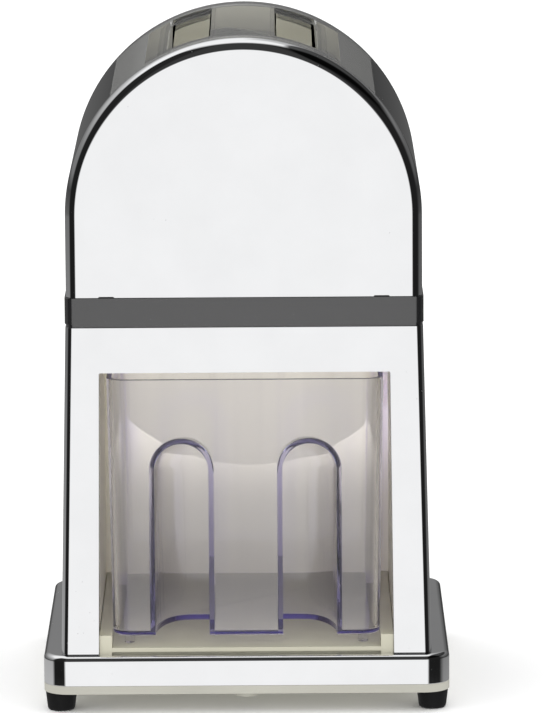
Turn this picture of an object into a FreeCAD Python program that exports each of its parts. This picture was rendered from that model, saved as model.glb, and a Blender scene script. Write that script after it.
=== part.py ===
import FreeCAD, Part
import math
import os
import re
import Sketcher

# Hand crank ice crusher.  Millimetres, +Z up, +X to the right, -Y is the front with the drawer.
# The origin lies on the standing plane under the middle of the housing.

SIZES = [
    # base
    ("base_width", 158, "chrome base, left to right"),
    ("base_front", 65, "chrome base, from the housing's middle to the front"),
    ("base_back", 80.6, "chrome base, from the housing's middle to the back"),
    ("base_corner", 10, "plan corner of the base"),
    ("base_height", 11.8, "height of the chrome base shell"),
    ("base_wall", 2, "wall of the chrome base shell"),
    ("base_round", 2.2, "rounded top edge of the base shell"),
    ("pan_height", 3.2, "visible edge of the base pan"),
    ("pan_floor", 2.4, "floor of the base pan"),
    ("pan_rim", 2.4, "rim of the base pan under the shell"),
    ("pan_boss_radius", 4.5, "screw bosses of pan and shell"),
    ("pan_boss_drop", 1.8, "how far a boss stands below the pan"),
    ("boss_inset_x", 20.2, "outer screw bosses from the base's side"),
    ("boss_inset_y", 12.5, "outer screw bosses from the base's front and back"),
    ("boss_inset_mid", 7, "middle screw bosses from the base's front and back"),
    ("foot_height", 8, "rubber foot below the pan"),
    ("foot_top_radius", 6.2, "rubber foot at the pan"),
    ("foot_bottom_radius", 5.4, "rubber foot at the table"),
    ("foot_round", 1.2, "rounded lower edge of a foot"),
    ("foot_inset_x", 6.6, "foot centre from the base's side"),
    ("foot_inset_y", 10.6, "foot centre from the base's front or back"),
    ("foot_recess", 2.6, "depth of the screw recess in a foot"),
    # lower housing and its bay
    ("lower_bottom_width", 144, "lower housing at the deck"),
    ("lower_top_width", 138, "lower housing under the collar"),
    ("lower_height", 129.2, "lower housing, deck to collar"),
    ("housing_depth", 124, "lower and upper housing, front to back"),
    ("housing_wall", 2, "wall of the lower housing"),
    ("housing_round", 3, "upright edges of the lower housing"),
    ("opening_bottom_width", 114.4, "drawer opening at the deck"),
    ("opening_top_width", 112, "drawer opening at its top"),
    ("opening_height", 111.2, "drawer opening"),
    ("post_size", 9, "screw posts at the foot of the lower housing"),
    ("post_height", 18, "height of those posts"),
    ("post_inset_y", 16, "those posts from the housing's front and back"),
    ("bay_width", 114.8, "inside of the bay liner"),
    ("bay_gap", 2, "bay liner in front of the housing's back wall"),
    ("bay_headroom", 0.6, "bay roof above the drawer opening"),
    ("liner_wall", 2, "wall of the bay liner"),
    ("tray_thickness", 2.6, "floor of the bay"),
    ("tray_setback", 0.8, "tray behind the front panel's face"),
    ("tray_shadow", 1, "undercut along the tray's front edge"),
    ("rail_width", 4.8, "drawer rails"),
    ("rail_height", 4.9, "drawer rails above the tray floor"),
    # collar
    ("collar_height", 11.4, "black band between the housings"),
    ("collar_overhang", 0.5, "collar proud of the upper housing"),
    ("collar_corner", 3.4, "upright edges of the collar"),
    ("seam_height", 1.3, "shadow line along the collar's foot"),
    ("seam_depth", 0.8, "shadow line behind the collar's faces"),
    ("lip_height", 4, "locating lips of the collar"),
    ("lip_thickness", 2.4, "thickness of those lips"),
    ("web_lift", 3.6, "collar web above the collar's lower edge"),
    ("web_thickness", 2.6, "collar web that carries the crusher"),
    # upper housing
    ("arch_radius", 68.7, "outside of the arched housing"),
    ("arch_rise", 31.6, "straight sides below the arch"),
    ("shell_wall", 2.6, "wall of the arched shell"),
    ("cover_depth", 5.2, "front and rear cover, front to back"),
    ("cover_round", 4.6, "rounded edge of the covers"),
    ("cover_wall", 2, "face of the covers"),
    ("cover_post_radius", 6, "posts that the covers fasten to"),
    ("cover_post_angle", 65, "upper posts from the top of the arch"),
    ("cover_post_lift", 12, "lower posts above the collar"),
    ("peg_length", 8, "pegs of the front cover"),
    ("notch_width", 5.8, "pry notches in the front cover's foot"),
    ("notch_height", 0.5, "height of those notches"),
    ("notch_place", 53, "pry notches from the middle"),
    ("ledge_thickness", 1.8, "ledge that the lid rests on"),
    ("ledge_angle", 53, "ends of the ledge from the top of the arch"),
    ("lid_angle", 48, "ends of the lid opening from the top"),
    ("lid_gap", 0.3, "clearance round the lid"),
    ("pinch_start", 13.5, "finger pockets of the lid from the middle"),
    ("pinch_width", 15, "width of a finger pocket"),
    ("pinch_length", 90, "length of a finger pocket"),
    ("pinch_floor", 55, "pocket floor above the shaft"),
    ("pinch_wall", 1.8, "wall of a finger pocket"),
    ("pinch_corner", 3, "corners of a finger pocket"),
    ("pinch_taper", 5, "degrees that its walls lean out"),
    # hopper
    ("mouth_width", 72.8, "hopper mouth under the lid"),
    ("chamber_width", 60, "crushing chamber"),
    ("chamber_inset", 8.3, "crushing chamber and mouth short of the arched shell"),
    ("chamber_top", 12, "straight chamber walls above the shaft"),
    ("hopper_wall", 2.2, "wall of the hopper"),
    ("hopper_flange_width", 96, "flange that stands on the collar web"),
    ("flange_gap", 1.3, "that flange short of the collar's front and back lips"),
    ("hopper_flange_thickness", 2.4, "thickness of that flange"),
    ("spout_clearance", 0.5, "round the hopper's spout"),
    ("spout_gap", 2, "spout above the drawer's rim"),
    ("seat_gap", 0.2, "hopper below the ledge"),
    ("bush_boss_radius", 11, "bosses that hold the bushes"),
    ("bush_boss_length", 3.8, "those bosses outside the hopper wall"),
    # crusher
    ("blade_pitch", 17.5, "blade to blade"),
    ("blade_thickness", 3, "toothed blade"),
    ("blade_hub_radius", 10, "round middle of a blade"),
    ("blade_teeth", 4, "teeth on a blade"),
    ("tooth_sink", 3, "foot of a tooth inside the round middle"),
    ("blade_reach", 25.2, "tooth tip above the shaft axis"),
    ("tooth_root", 11, "tooth at the hub"),
    ("tooth_tip", 3, "tooth at its tip"),
    ("tooth_lean", 3.2, "tip ahead of the root"),
    ("tooth_belly", 17, "height of the hooked back of a tooth"),
    ("blade_stagger", 18, "degrees from one blade to the next"),
    ("shaft_square", 10, "square middle of the shaft"),
    ("square_clearance", 0.1, "blade bore round the square"),
    ("spacer_radius", 9, "spacer tubes between the blades"),
    ("spacer_clearance", 0.15, "spacer bore round the square's corners"),
    ("end_float", 0.3, "end play of the shaft"),
    ("front_journal_radius", 4, "shaft in the front bush"),
    ("rear_journal_radius", 5, "shaft in the rear bush"),
    ("running_clearance", 0.05, "radial clearance in the bushes"),
    ("bush_radius", 7.5, "outside of a bush"),
    ("bush_clearance", 0.04, "bush in its boss"),
    ("bush_flange_radius", 9.6, "flange of a bush"),
    ("bush_flange", 1.5, "thickness of that flange"),
    ("clip_thickness", 1, "retaining clip"),
    ("clip_radius", 6.4, "outside of the clip"),
    ("clip_groove_radius", 3.2, "groove for the clip"),
    ("shaft_tail", 1.4, "shaft in front of the clip"),
    ("comb_thickness", 2, "sheet of the combs"),
    ("comb_flange", 13, "upright flange of a comb"),
    ("comb_drop", 2, "top of the comb below the shaft axis"),
    ("comb_gap", 0.5, "combs short of the chamber's end walls"),
    ("tine_reach", 12.5, "tine tips from the shaft axis"),
    ("tine_root", 8.5, "tine at the flange"),
    ("tine_point", 4.5, "tine at its tip"),
    ("tine_web", 1, "uncut strip between the flange and the slits"),
    # crank
    ("crank_gap", 1.5, "crank hub behind the rear cover"),
    ("washer_thickness", 1.1, "washer between cover and hub"),
    ("washer_radius", 11, "outside of that washer"),
    ("shaft_hole_radius", 6.5, "hole in the rear cover"),
    ("crank_length", 74, "shaft axis to knob axis"),
    ("crank_hub_radius", 12, "hub of the crank"),
    ("crank_hub_length", 13, "hub, front to back"),
    ("crank_arm_lift", 2, "arm behind the hub's inner face"),
    ("crank_arm_thickness", 6, "thickness of the arm"),
    ("crank_arm_root", 20.4, "width of the arm at the shaft"),
    ("crank_end_radius", 9, "arm round the knob pin"),
    ("crank_round", 1.2, "rounded rim of the hub"),
    ("crank_square", 6.8, "square end of the shaft"),
    ("crank_seat_depth", 7.5, "square hole in the hub"),
    ("cap_radius", 8.4, "cap over the crank screw"),
    ("cap_depth", 1.6, "seat of that cap in the hub"),
    ("cap_dome", 0.8, "how far the cap stands proud"),
    ("cap_bevel", 1, "slope round the cap"),
    ("knob_length", 42, "turning knob"),
    ("knob_radius", 10.5, "knob at its fullest"),
    ("knob_neck_radius", 7.5, "knob at the arm"),
    ("knob_tip_radius", 8.6, "knob at its free end"),
    ("knob_flare", 1, "neck of the knob widens by"),
    ("knob_flare_length", 3, "length of that neck"),
    ("knob_belly", 23, "fullest place of the knob from its neck"),
    ("knob_round", 2, "rounded end of the knob"),
    ("pin_radius", 3.5, "pin in the knob"),
    ("pin_tail_radius", 2.5, "pin in the arm"),
    ("pin_head_radius", 5.5, "head of the pin"),
    ("pin_head", 1.8, "thickness of that head"),
    ("knob_clearance", 0.08, "radial clearance of the knob on its pin"),
    ("knob_gap", 0.4, "knob from arm and from pin head"),
    # drawer
    ("drawer_bottom_width", 103.3, "drawer at its floor"),
    ("drawer_taper", 0.79, "degrees that the walls lean out"),
    ("drawer_height", 101.4, "drawer, floor to rim"),
    ("drawer_lift", 4, "drawer's underside above the tray"),
    ("drawer_setback", 4, "drawer's front foot behind the panel"),
    ("drawer_back_gap", 5, "drawer's back foot in front of the bay's back wall"),
    ("drawer_wall", 2, "wall of the drawer"),
    ("drawer_corner", 7, "upright corners of the drawer"),
    ("drawer_foot_round", 1.6, "rounded lower edge of the drawer"),
    ("nub_radius", 2, "feet under the drawer"),
    ("nub_gap", 0.2, "nubs above the tray"),
    ("nub_spread", 45.5, "nubs from the middle"),
    ("nub_inset", 7, "nubs from the drawer's front and back"),
    ("groove_inner", 14.3, "finger grooves from the middle"),
    ("groove_width", 21.1, "width of a finger groove"),
    ("groove_top", 106.5, "top of a groove above the table"),
    ("groove_depth_top", 14, "groove depth at the height of its top"),
    ("groove_depth_foot", 35, "groove depth at the drawer's floor"),
    ("groove_narrow", 13, "groove narrower at its back by"),
    ("groove_step", 5, "groove lower at its back by"),
    # fasteners
    ("fastener_clearance", 0.1, "hole round a screw"),
    ("screw_radius", 1.6, "screw shanks"),
    ("screw_head_radius", 3.2, "screw heads"),
    ("screw_head", 1.8, "thickness of a screw head"),
    ("screw_length", 9, "shank below the head"),
]
BLADES = 5
GROOVE_BENDS = (30, 60, 90)
ALIASES = {name for name, _, _ in SIZES}
WORD = re.compile(r"[a-z_]+")

# Heights and places that follow from the sizes, as texts for expressions.
PAN_TOP = "(foot_height + pan_height)"
DECK = f"({PAN_TOP} + base_height)"
COLLAR_BOTTOM = f"({DECK} + lower_height)"
COLLAR_TOP = f"({COLLAR_BOTTOM} + collar_height)"
AXIS = f"({COLLAR_TOP} + arch_rise)"
WEB_BOTTOM = f"({COLLAR_BOTTOM} + web_lift)"
WEB_TOP = f"({WEB_BOTTOM} + web_thickness)"
HALF_DEPTH = "(housing_depth / 2)"
SHELL_HALF = f"({HALF_DEPTH} - cover_depth)"
BAY_BACK = f"({HALF_DEPTH} - housing_wall - bay_gap - liner_wall)"
DRAWER_BACK = f"({BAY_BACK} - drawer_back_gap)"
TRAY_TOP = f"({DECK} + tray_thickness)"
DRAWER_FLOOR = f"({TRAY_TOP} + drawer_lift)"
DRAWER_RIM = f"({DRAWER_FLOOR} + drawer_height)"
BAY_ROOF = f"({DECK} + opening_height + bay_headroom)"
SPOUT = f"({DRAWER_RIM} + spout_gap)"
CHAMBER_HALF = f"({SHELL_HALF} - chamber_inset)"
FLANGE_HALF = f"({HALF_DEPTH} - housing_wall - lid_gap - lip_thickness - flange_gap)"
HOPPER_HALF = f"({CHAMBER_HALF} + hopper_wall)"
BUSH_FACE = f"({HOPPER_HALF} + bush_boss_length)"
CLIP_FACE = f"({BUSH_FACE} + bush_flange + end_float)"
HUB_FACE = f"({HALF_DEPTH} + crank_gap)"
ARM_FACE = f"({HUB_FACE} + crank_arm_lift)"
ARM_BACK = f"({ARM_FACE} + crank_arm_thickness)"
BEYOND_ARCH = "(arch_radius * sqrt(2))"

doc = FreeCAD.newDocument("ice_crusher")
sheet = doc.addObject("Spreadsheet::Sheet", "sizes")
for row, (alias, number, note) in enumerate(SIZES, 1):
    sheet.set(f"A{row}", note)
    sheet.set(f"B{row}", str(number))
    sheet.setAlias(f"B{row}", alias)
doc.recompute()

parts = {}


def bind(thing, place, text):
    """Tie a property of a document object to an expression in named sizes."""
    words = WORD.sub(lambda found: "sizes." + found[0] if found[0] in ALIASES else found[0], text)
    thing.setExpression(place, words)


def place_at(thing, along_x="0", along_y="0", along_z="0"):
    bind(thing, "Placement.Base.x", along_x)
    bind(thing, "Placement.Base.y", along_y)
    bind(thing, "Placement.Base.z", along_z)


def keep(name, thing):
    thing.Label = name
    parts[name] = thing
    return thing


def new_body(name):
    return keep(name, doc.addObject("PartDesign::Body", name))


# ---- sketches -------------------------------------------------------------------------------

def plan_sketch(body, height="0"):
    """Sketch seen from above, at a height."""
    return attached_sketch(body, "XY_Plane", height)


def front_sketch(body, along_y="0"):
    """Sketch seen from the front: x to the right, y up, at a place front to back."""
    return attached_sketch(body, "XZ_Plane", f"-({along_y})")


def attached_sketch(body, role, offset):
    sketch = body.newObject("Sketcher::SketchObject", body.Name + "_sketch")
    plane = next(datum for datum in body.Origin.OriginFeatures if datum.Role == role)
    sketch.AttachmentSupport = [(plane, "")]
    sketch.MapMode = "FlatFace"
    bind(sketch, "AttachmentOffset.Base.z", offset)
    return sketch


def dimension(sketch, kind, refs, start, text):
    number = sketch.addConstraint(Sketcher.Constraint(kind, *refs, start))
    bind(sketch, f"Constraints[{number}]", text)


def polygon(sketch, corners):
    """Closed straight outline whose corners are each dimensioned from the sketch's origin."""
    first = sketch.GeometryCount
    count = len(corners)
    spots = [FreeCAD.Vector(10 * math.cos(2 * math.pi * i / count), 10 * math.sin(2 * math.pi * i / count), 0)
             for i in range(count)]
    for i in range(count):
        sketch.addGeometry(Part.LineSegment(spots[i], spots[(i + 1) % count]))
    for i in range(count):
        sketch.addConstraint(Sketcher.Constraint("Coincident", first + i, 2, first + (i + 1) % count, 1))
    for i, (across, up) in enumerate(corners):
        dimension(sketch, "DistanceX", (-1, 1, first + i, 1), 5.0, across)
        dimension(sketch, "DistanceY", (-1, 1, first + i, 1), 5.0, up)
    return sketch


def rectangle(sketch, left, right, bottom, top):
    return polygon(sketch, [(left, bottom), (right, bottom), (right, top), (left, top)])


def centred(sketch, width, depth):
    return rectangle(sketch, f"-({width}) / 2", f"({width}) / 2", f"-({depth}) / 2", f"({depth}) / 2")


def rounded_rectangle(sketch, left, right, bottom, top, radius):
    """Rectangle with equal round corners: sides 0 to 3 from the bottom on, corners 4 to 7."""
    box = [(-20, -30), (20, -30), (20, 30), (-20, 30)]
    step = [(1, 0), (0, 1), (-1, 0), (0, -1)]
    size = 5
    for i in range(4):
        (ax, ay), (bx, by), (dx, dy) = box[i], box[(i + 1) % 4], step[i]
        start = FreeCAD.Vector(ax + size * dx, ay + size * dy, 0)
        sketch.addGeometry(Part.LineSegment(start, FreeCAD.Vector(bx - size * dx, by - size * dy, 0)))
    for i in range(4):
        (bx, by), (dx, dy), (nx, ny) = box[(i + 1) % 4], step[i], step[(i + 1) % 4]
        centre = FreeCAD.Vector(bx - size * dx + size * nx, by - size * dy + size * ny, 0)
        corner = Part.Circle(centre, FreeCAD.Vector(0, 0, 1), size)
        sketch.addGeometry(Part.ArcOfCircle(corner, math.radians(90 * i - 90), math.radians(90 * i)))
    for i in range(4):
        sketch.addConstraint(Sketcher.Constraint("Tangent", i, 2, 4 + i, 1))
        sketch.addConstraint(Sketcher.Constraint("Tangent", 4 + i, 2, (i + 1) % 4, 1))
        sketch.addConstraint(Sketcher.Constraint("Horizontal" if i % 2 == 0 else "Vertical", i))
    for i in range(1, 4):
        sketch.addConstraint(Sketcher.Constraint("Equal", 4, 4 + i))
    dimension(sketch, "Radius", (4,), float(size), radius)
    dimension(sketch, "DistanceY", (-1, 1, 0, 1), -30.0, bottom)
    dimension(sketch, "DistanceX", (-1, 1, 1, 1), 20.0, right)
    dimension(sketch, "DistanceY", (-1, 1, 2, 1), 30.0, top)
    dimension(sketch, "DistanceX", (-1, 1, 3, 1), -20.0, left)
    return sketch


def rounded_plan(body, height, width, depth, radius):
    """Plan sketch of a rectangle with round corners, centred on the upright axis."""
    sketch = plan_sketch(body, height)
    return rounded_rectangle(sketch, f"-({width}) / 2", f"({width}) / 2", f"-({depth}) / 2", f"({depth}) / 2",
                             radius)


def circle(sketch, across, up, radius):
    number = sketch.addGeometry(Part.Circle(FreeCAD.Vector(1, 1, 0), FreeCAD.Vector(0, 0, 1), 1.0))
    dimension(sketch, "DistanceX", (-1, 1, number, 3), 1.0, across)
    dimension(sketch, "DistanceY", (-1, 1, number, 3), 1.0, up)
    dimension(sketch, "Radius", (number,), 1.0, radius)
    return sketch


def arch(sketch, radius, centre, bottom, shift="0"):
    """Upright sides under a half-round top."""
    middle = 100.0
    sketch.addGeometry(Part.LineSegment(FreeCAD.Vector(50, 20, 0), FreeCAD.Vector(50, middle, 0)))
    dome = Part.Circle(FreeCAD.Vector(0, middle, 0), FreeCAD.Vector(0, 0, 1), 50)
    sketch.addGeometry(Part.ArcOfCircle(dome, 0, math.pi))
    sketch.addGeometry(Part.LineSegment(FreeCAD.Vector(-50, middle, 0), FreeCAD.Vector(-50, 20, 0)))
    sketch.addGeometry(Part.LineSegment(FreeCAD.Vector(-50, 20, 0), FreeCAD.Vector(50, 20, 0)))
    for rule in (("Tangent", 0, 2, 1, 1), ("Tangent", 1, 2, 2, 1), ("Coincident", 2, 2, 3, 1),
                 ("Coincident", 3, 2, 0, 1), ("Vertical", 0), ("Vertical", 2), ("Horizontal", 3)):
        sketch.addConstraint(Sketcher.Constraint(*rule))
    dimension(sketch, "DistanceX", (-1, 1, 1, 3), 0.0, shift)
    dimension(sketch, "DistanceY", (-1, 1, 1, 3), middle, centre)
    dimension(sketch, "Radius", (1,), 50.0, radius)
    dimension(sketch, "DistanceY", (-1, 1, 0, 1), 20.0, bottom)
    return sketch


def sector(sketch, inner, outer, angle, centre):
    """Ring segment about a centre on the upright axis, the same angle to each side of the top."""
    starts = (50.0, 40.0)
    middle = 100.0
    low, high = math.radians(45), math.radians(135)
    for start in starts:
        ring = Part.Circle(FreeCAD.Vector(0, middle, 0), FreeCAD.Vector(0, 0, 1), start)
        sketch.addGeometry(Part.ArcOfCircle(ring, low, high))
    sketch.addGeometry(Part.LineSegment(FreeCAD.Vector(30, 130, 0), FreeCAD.Vector(35, 135, 0)))
    sketch.addGeometry(Part.LineSegment(FreeCAD.Vector(-30, 130, 0), FreeCAD.Vector(-35, 135, 0)))
    for number, radius in ((0, outer), (1, inner)):
        across = f"({radius}) * sin(({angle}) * 1deg)"
        sketch.addConstraint(Sketcher.Constraint("PointOnObject", number, 3, -2))
        dimension(sketch, "DistanceY", (-1, 1, number, 3), middle, centre)
        dimension(sketch, "Radius", (number,), starts[number], radius)
        dimension(sketch, "DistanceX", (-1, 1, number, 1), 30.0, across)
        dimension(sketch, "DistanceX", (-1, 1, number, 2), -30.0, f"-({across})")
    for rule in ((2, 1, 1, 1), (2, 2, 0, 1), (3, 1, 1, 2), (3, 2, 0, 2)):
        sketch.addConstraint(Sketcher.Constraint("Coincident", *rule))
    return sketch


# ---- features -------------------------------------------------------------------------------

def grow(body, kind, sketch, length, both_ways=False, turned_round=False):
    feature = body.newObject("PartDesign::" + kind, body.Name + "_" + kind.lower())
    feature.Profile = sketch
    bind(feature, "Length", length)
    feature.Midplane = both_ways
    feature.Reversed = turned_round
    doc.recompute()
    return feature


def pad(body, sketch, length, **way):
    return grow(body, "Pad", sketch, length, **way)


def pocket(body, sketch, length, **way):
    before = body.Shape.Volume
    feature = grow(body, "Pocket", sketch, length, **way)
    if body.Shape.Volume > before - 1e-6:
        raise RuntimeError(body.Label + ": a pocket cuts nothing")
    return feature


def picked(shape, kind, test):
    """Names of the edges or faces whose sample points all pass the test."""
    names = []
    for number, item in enumerate(getattr(shape, kind + "s"), 1):
        points = [corner.Point for corner in item.Vertexes]
        if kind == "Edge":
            points.append(item.valueAt((item.FirstParameter + item.LastParameter) / 2))
        if all(test(point) for point in points):
            names.append(f"{kind}{number}")
    return names


def reach(shape, axis, side):
    """Furthest corner of a shape along an axis, 'x', 'y' or 'z', on side -1 or +1."""
    places = [getattr(corner, axis.upper()) for corner in shape.Vertexes]
    return max(places) if side > 0 else min(places)


def rounded(body, radius, test, spare=None):
    """Fillet the edges that pass the test, apart from those that also pass the spare test."""
    base = body.Tip
    kept_sharp = picked(base.Shape, "Edge", spare) if spare else []
    edges = [name for name in picked(base.Shape, "Edge", test) if name not in kept_sharp]
    feature = body.newObject("PartDesign::Fillet", body.Name + "_fillet")
    feature.Base = (base, edges)
    bind(feature, "Radius", radius)
    doc.recompute()
    return feature


def hollowed(body, wall, open_faces):
    base = body.Tip
    feature = body.newObject("PartDesign::Thickness", body.Name + "_thickness")
    feature.Base = (base, open_faces)
    bind(feature, "Value", wall)
    feature.Reversed = True
    doc.recompute()
    return feature


def upright_edges(shape):
    """Test for edges that run mostly up and down."""
    bottom, top = reach(shape, "z", -1), reach(shape, "z", 1)
    middle = (bottom + top) / 2
    names = []
    for number, edge in enumerate(shape.Edges, 1):
        heights = sorted(corner.Z for corner in edge.Vertexes)
        if heights[0] < middle < heights[-1]:
            names.append(f"Edge{number}")
    return names


def round_uprights(body, radius):
    base = body.Tip
    feature = body.newObject("PartDesign::Fillet", body.Name + "_fillet")
    feature.Base = (base, upright_edges(base.Shape))
    bind(feature, "Radius", radius)
    doc.recompute()
    return feature


def near(value, target):
    return abs(value - target) < 1e-4


def turned(name, profile):
    """Piece of revolution about its own upright axis, from (radius, height) corners."""
    body = new_body(name)
    sketch = polygon(front_sketch(body), profile)
    feature = body.newObject("PartDesign::Revolution", name + "_revolution")
    feature.Profile = sketch
    feature.ReferenceAxis = (sketch, ["V_Axis"])
    feature.Angle = 360
    doc.recompute()
    return body


def lay_back(body):
    """Turn an upright piece so that its top points backwards, along +Y."""
    body.Placement = FreeCAD.Placement(FreeCAD.Vector(), FreeCAD.Rotation(FreeCAD.Vector(1, 0, 0), -90))
    return body


def lay_forward(body):
    """Turn an upright piece so that its top points forwards, along -Y."""
    body.Placement = FreeCAD.Placement(FreeCAD.Vector(), FreeCAD.Rotation(FreeCAD.Vector(1, 0, 0), 90))
    return body


def screws(name, spots, direction, length="screw_length"):
    """Group of equal screws; each spot is the underside of a head, and direction is where they drive."""
    turn = FreeCAD.Rotation(FreeCAD.Vector(0, 0, 1), direction)
    pieces = []
    for number, spot in enumerate(spots, 1):
        for part_name, radius, height, back in (("head", "screw_head_radius", "screw_head", "screw_head"),
                                                ("shank", "screw_radius", f"({length}) + screw_head / 2",
                                                 "screw_head / 2")):
            rod = doc.addObject("Part::Cylinder", f"{name}_{part_name}_{number}")
            bind(rod, "Radius", radius)
            bind(rod, "Height", height)
            rod.Placement = FreeCAD.Placement(FreeCAD.Vector(), turn)
            steps = (direction.x, direction.y, direction.z)
            place_at(rod, *[f"({middle}) - ({step:g}) * ({back})" for middle, step in zip(spot, steps)])
            pieces.append(rod)
    group = doc.addObject("Part::MultiFuse", name)
    group.Shapes = pieces
    doc.recompute()
    return keep(name, group)


# ---- base -----------------------------------------------------------------------------------

BOSS_X = "(base_width / 2 - boss_inset_x)"
BOSS_SPOTS = []
for side, inset in ((-1, "boss_inset_y"), (0, "boss_inset_mid"), (1, "boss_inset_y")):
    BOSS_SPOTS += [(f"{side} * {BOSS_X}", f"({inset} - base_front)"),
                   (f"{side} * {BOSS_X}", f"(base_back - {inset})")]
FOOT_X = "(base_width / 2 - foot_inset_x)"
FOOT_SPOTS = {
    "front_left": (f"-{FOOT_X}", "(foot_inset_y - base_front)"),
    "front_right": (FOOT_X, "(foot_inset_y - base_front)"),
    "rear_left": (f"-{FOOT_X}", "(base_back - foot_inset_y)"),
    "rear_right": (FOOT_X, "(base_back - foot_inset_y)"),
}
POST_X = "(lower_bottom_width / 2 - housing_wall - post_size / 2)"
POST_Y = f"({HALF_DEPTH} - post_inset_y)"
POST_SPOTS = [(f"{side} * {POST_X}", f"{end} * {POST_Y}") for side in (-1, 1) for end in (-1, 1)]
SCREW_HOLE = "screw_radius + fastener_clearance"


def base_plan(body, height, inset="0"):
    """Plan sketch of the base's outline, drawn in all round by the inset."""
    side = f"base_width / 2 - {inset}"
    return rounded_rectangle(plan_sketch(body, height), f"-({side})", side, f"{inset} - base_front",
                             f"base_back - {inset}", f"base_corner - {inset}")


def make_base_pan():
    body = new_body("base_pan")
    pad(body, base_plan(body, "foot_height"), "pan_height")
    pocket(body, base_plan(body, PAN_TOP, "pan_rim"), "pan_height - pan_floor")
    bosses = plan_sketch(body, "foot_height - pan_boss_drop")
    for across, deep in BOSS_SPOTS:
        circle(bosses, across, deep, "pan_boss_radius")
    pad(body, bosses, "pan_boss_drop + pan_floor / 2")
    foot_seats = plan_sketch(body, "foot_height + pan_floor / 2")
    for across, deep in FOOT_SPOTS.values():
        circle(foot_seats, across, deep, "pan_boss_radius")
    pad(body, foot_seats, "pan_height - pan_floor / 2")
    holes = plan_sketch(body, PAN_TOP)
    for across, deep in BOSS_SPOTS + list(FOOT_SPOTS.values()):
        circle(holes, across, deep, SCREW_HOLE)
    pocket(body, holes, "pan_height + pan_boss_drop")
    sinks = plan_sketch(body, "foot_height - pan_boss_drop")
    for across, deep in BOSS_SPOTS:
        circle(sinks, across, deep, "screw_head_radius + fastener_clearance")
    pocket(body, sinks, "pan_boss_drop", turned_round=True)


def make_base_shell():
    body = new_body("base_shell")
    pad(body, base_plan(body, PAN_TOP), "base_height")
    top = reach(body.Shape, "z", 1)
    rounded(body, "base_round", lambda point: near(point.z, top))
    pocket(body, base_plan(body, PAN_TOP, "base_wall"), "base_height - base_wall", turned_round=True)
    posts = plan_sketch(body, "foot_height + pan_floor")
    for across, deep in BOSS_SPOTS:
        circle(posts, across, deep, "pan_boss_radius")
    pad(body, posts, f"{DECK} - base_wall / 2 - foot_height - pan_floor")
    holes = plan_sketch(body, "foot_height")
    for across, deep in BOSS_SPOTS:
        circle(holes, across, deep, SCREW_HOLE)
    pocket(body, holes, "screw_length + fastener_clearance", turned_round=True)
    clamps = plan_sketch(body, DECK)
    for across, deep in POST_SPOTS:
        circle(clamps, across, deep, SCREW_HOLE)
    pocket(body, clamps, "base_wall * 2")


def make_feet():
    for corner, (across, deep) in FOOT_SPOTS.items():
        foot = turned("foot_" + corner, [
            (SCREW_HOLE, "foot_recess"),
            ("screw_head_radius + fastener_clearance", "foot_recess"),
            ("screw_head_radius + fastener_clearance", "0"),
            ("foot_bottom_radius - foot_round", "0"),
            ("foot_bottom_radius - foot_round * 0.29", "foot_round * 0.29"),
            ("foot_bottom_radius", "foot_round"),
            ("foot_top_radius", "foot_height"),
            (SCREW_HOLE, "foot_height"),
        ])
        place_at(foot, across, deep)


def make_base_screws():
    up = FreeCAD.Vector(0, 0, 1)
    screws("foot_screws", [(x, y, "foot_recess") for x, y in FOOT_SPOTS.values()], up)
    screws("base_screws", [(x, y, "foot_height") for x, y in BOSS_SPOTS], up)
    screws("housing_screws", [(x, y, f"{DECK} - base_wall") for x, y in POST_SPOTS], up)


# ---- lower housing and bay ------------------------------------------------------------------

SPOUT_HOLE = ("chamber_width + 2 * hopper_wall + 2 * spout_clearance",
              f"2 * {HOPPER_HALF} + 2 * spout_clearance")


def make_lower_housing():
    body = new_body("lower_housing")
    outline = polygon(front_sketch(body), [
        ("-lower_bottom_width / 2", DECK), ("lower_bottom_width / 2", DECK),
        ("lower_top_width / 2", COLLAR_BOTTOM), ("-lower_top_width / 2", COLLAR_BOTTOM)])
    pad(body, outline, "housing_depth", both_ways=True)
    round_uprights(body, "housing_round")
    bottom, top = reach(body.Shape, "z", -1), reach(body.Shape, "z", 1)
    ends = []
    for level in (bottom, top):
        ends += picked(body.Shape, "Face", lambda point: near(point.z, level))
    hollowed(body, "housing_wall", ends)
    opening = polygon(front_sketch(body, f"-{HALF_DEPTH}"), [
        ("-opening_bottom_width / 2", DECK), ("opening_bottom_width / 2", DECK),
        ("opening_top_width / 2", f"{DECK} + opening_height"),
        ("-opening_top_width / 2", f"{DECK} + opening_height")])
    pocket(body, opening, "housing_wall * 2")
    posts = plan_sketch(body, DECK)
    for side in (-1, 1):
        inner = f"{side} * ({POST_X} - post_size / 2)"
        outer = f"{side} * ({POST_X} + post_size / 2 + housing_wall / 3)"
        left, right = (inner, outer) if side > 0 else (outer, inner)
        for end in (-1, 1):
            rectangle(posts, left, right, f"{end} * {POST_Y} - post_size / 2",
                      f"{end} * {POST_Y} + post_size / 2")
    pad(body, posts, "post_height")
    holes = plan_sketch(body, DECK)
    for across, deep in POST_SPOTS:
        circle(holes, across, deep, SCREW_HOLE)
    pocket(body, holes, "screw_length + fastener_clearance", turned_round=True)


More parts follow.
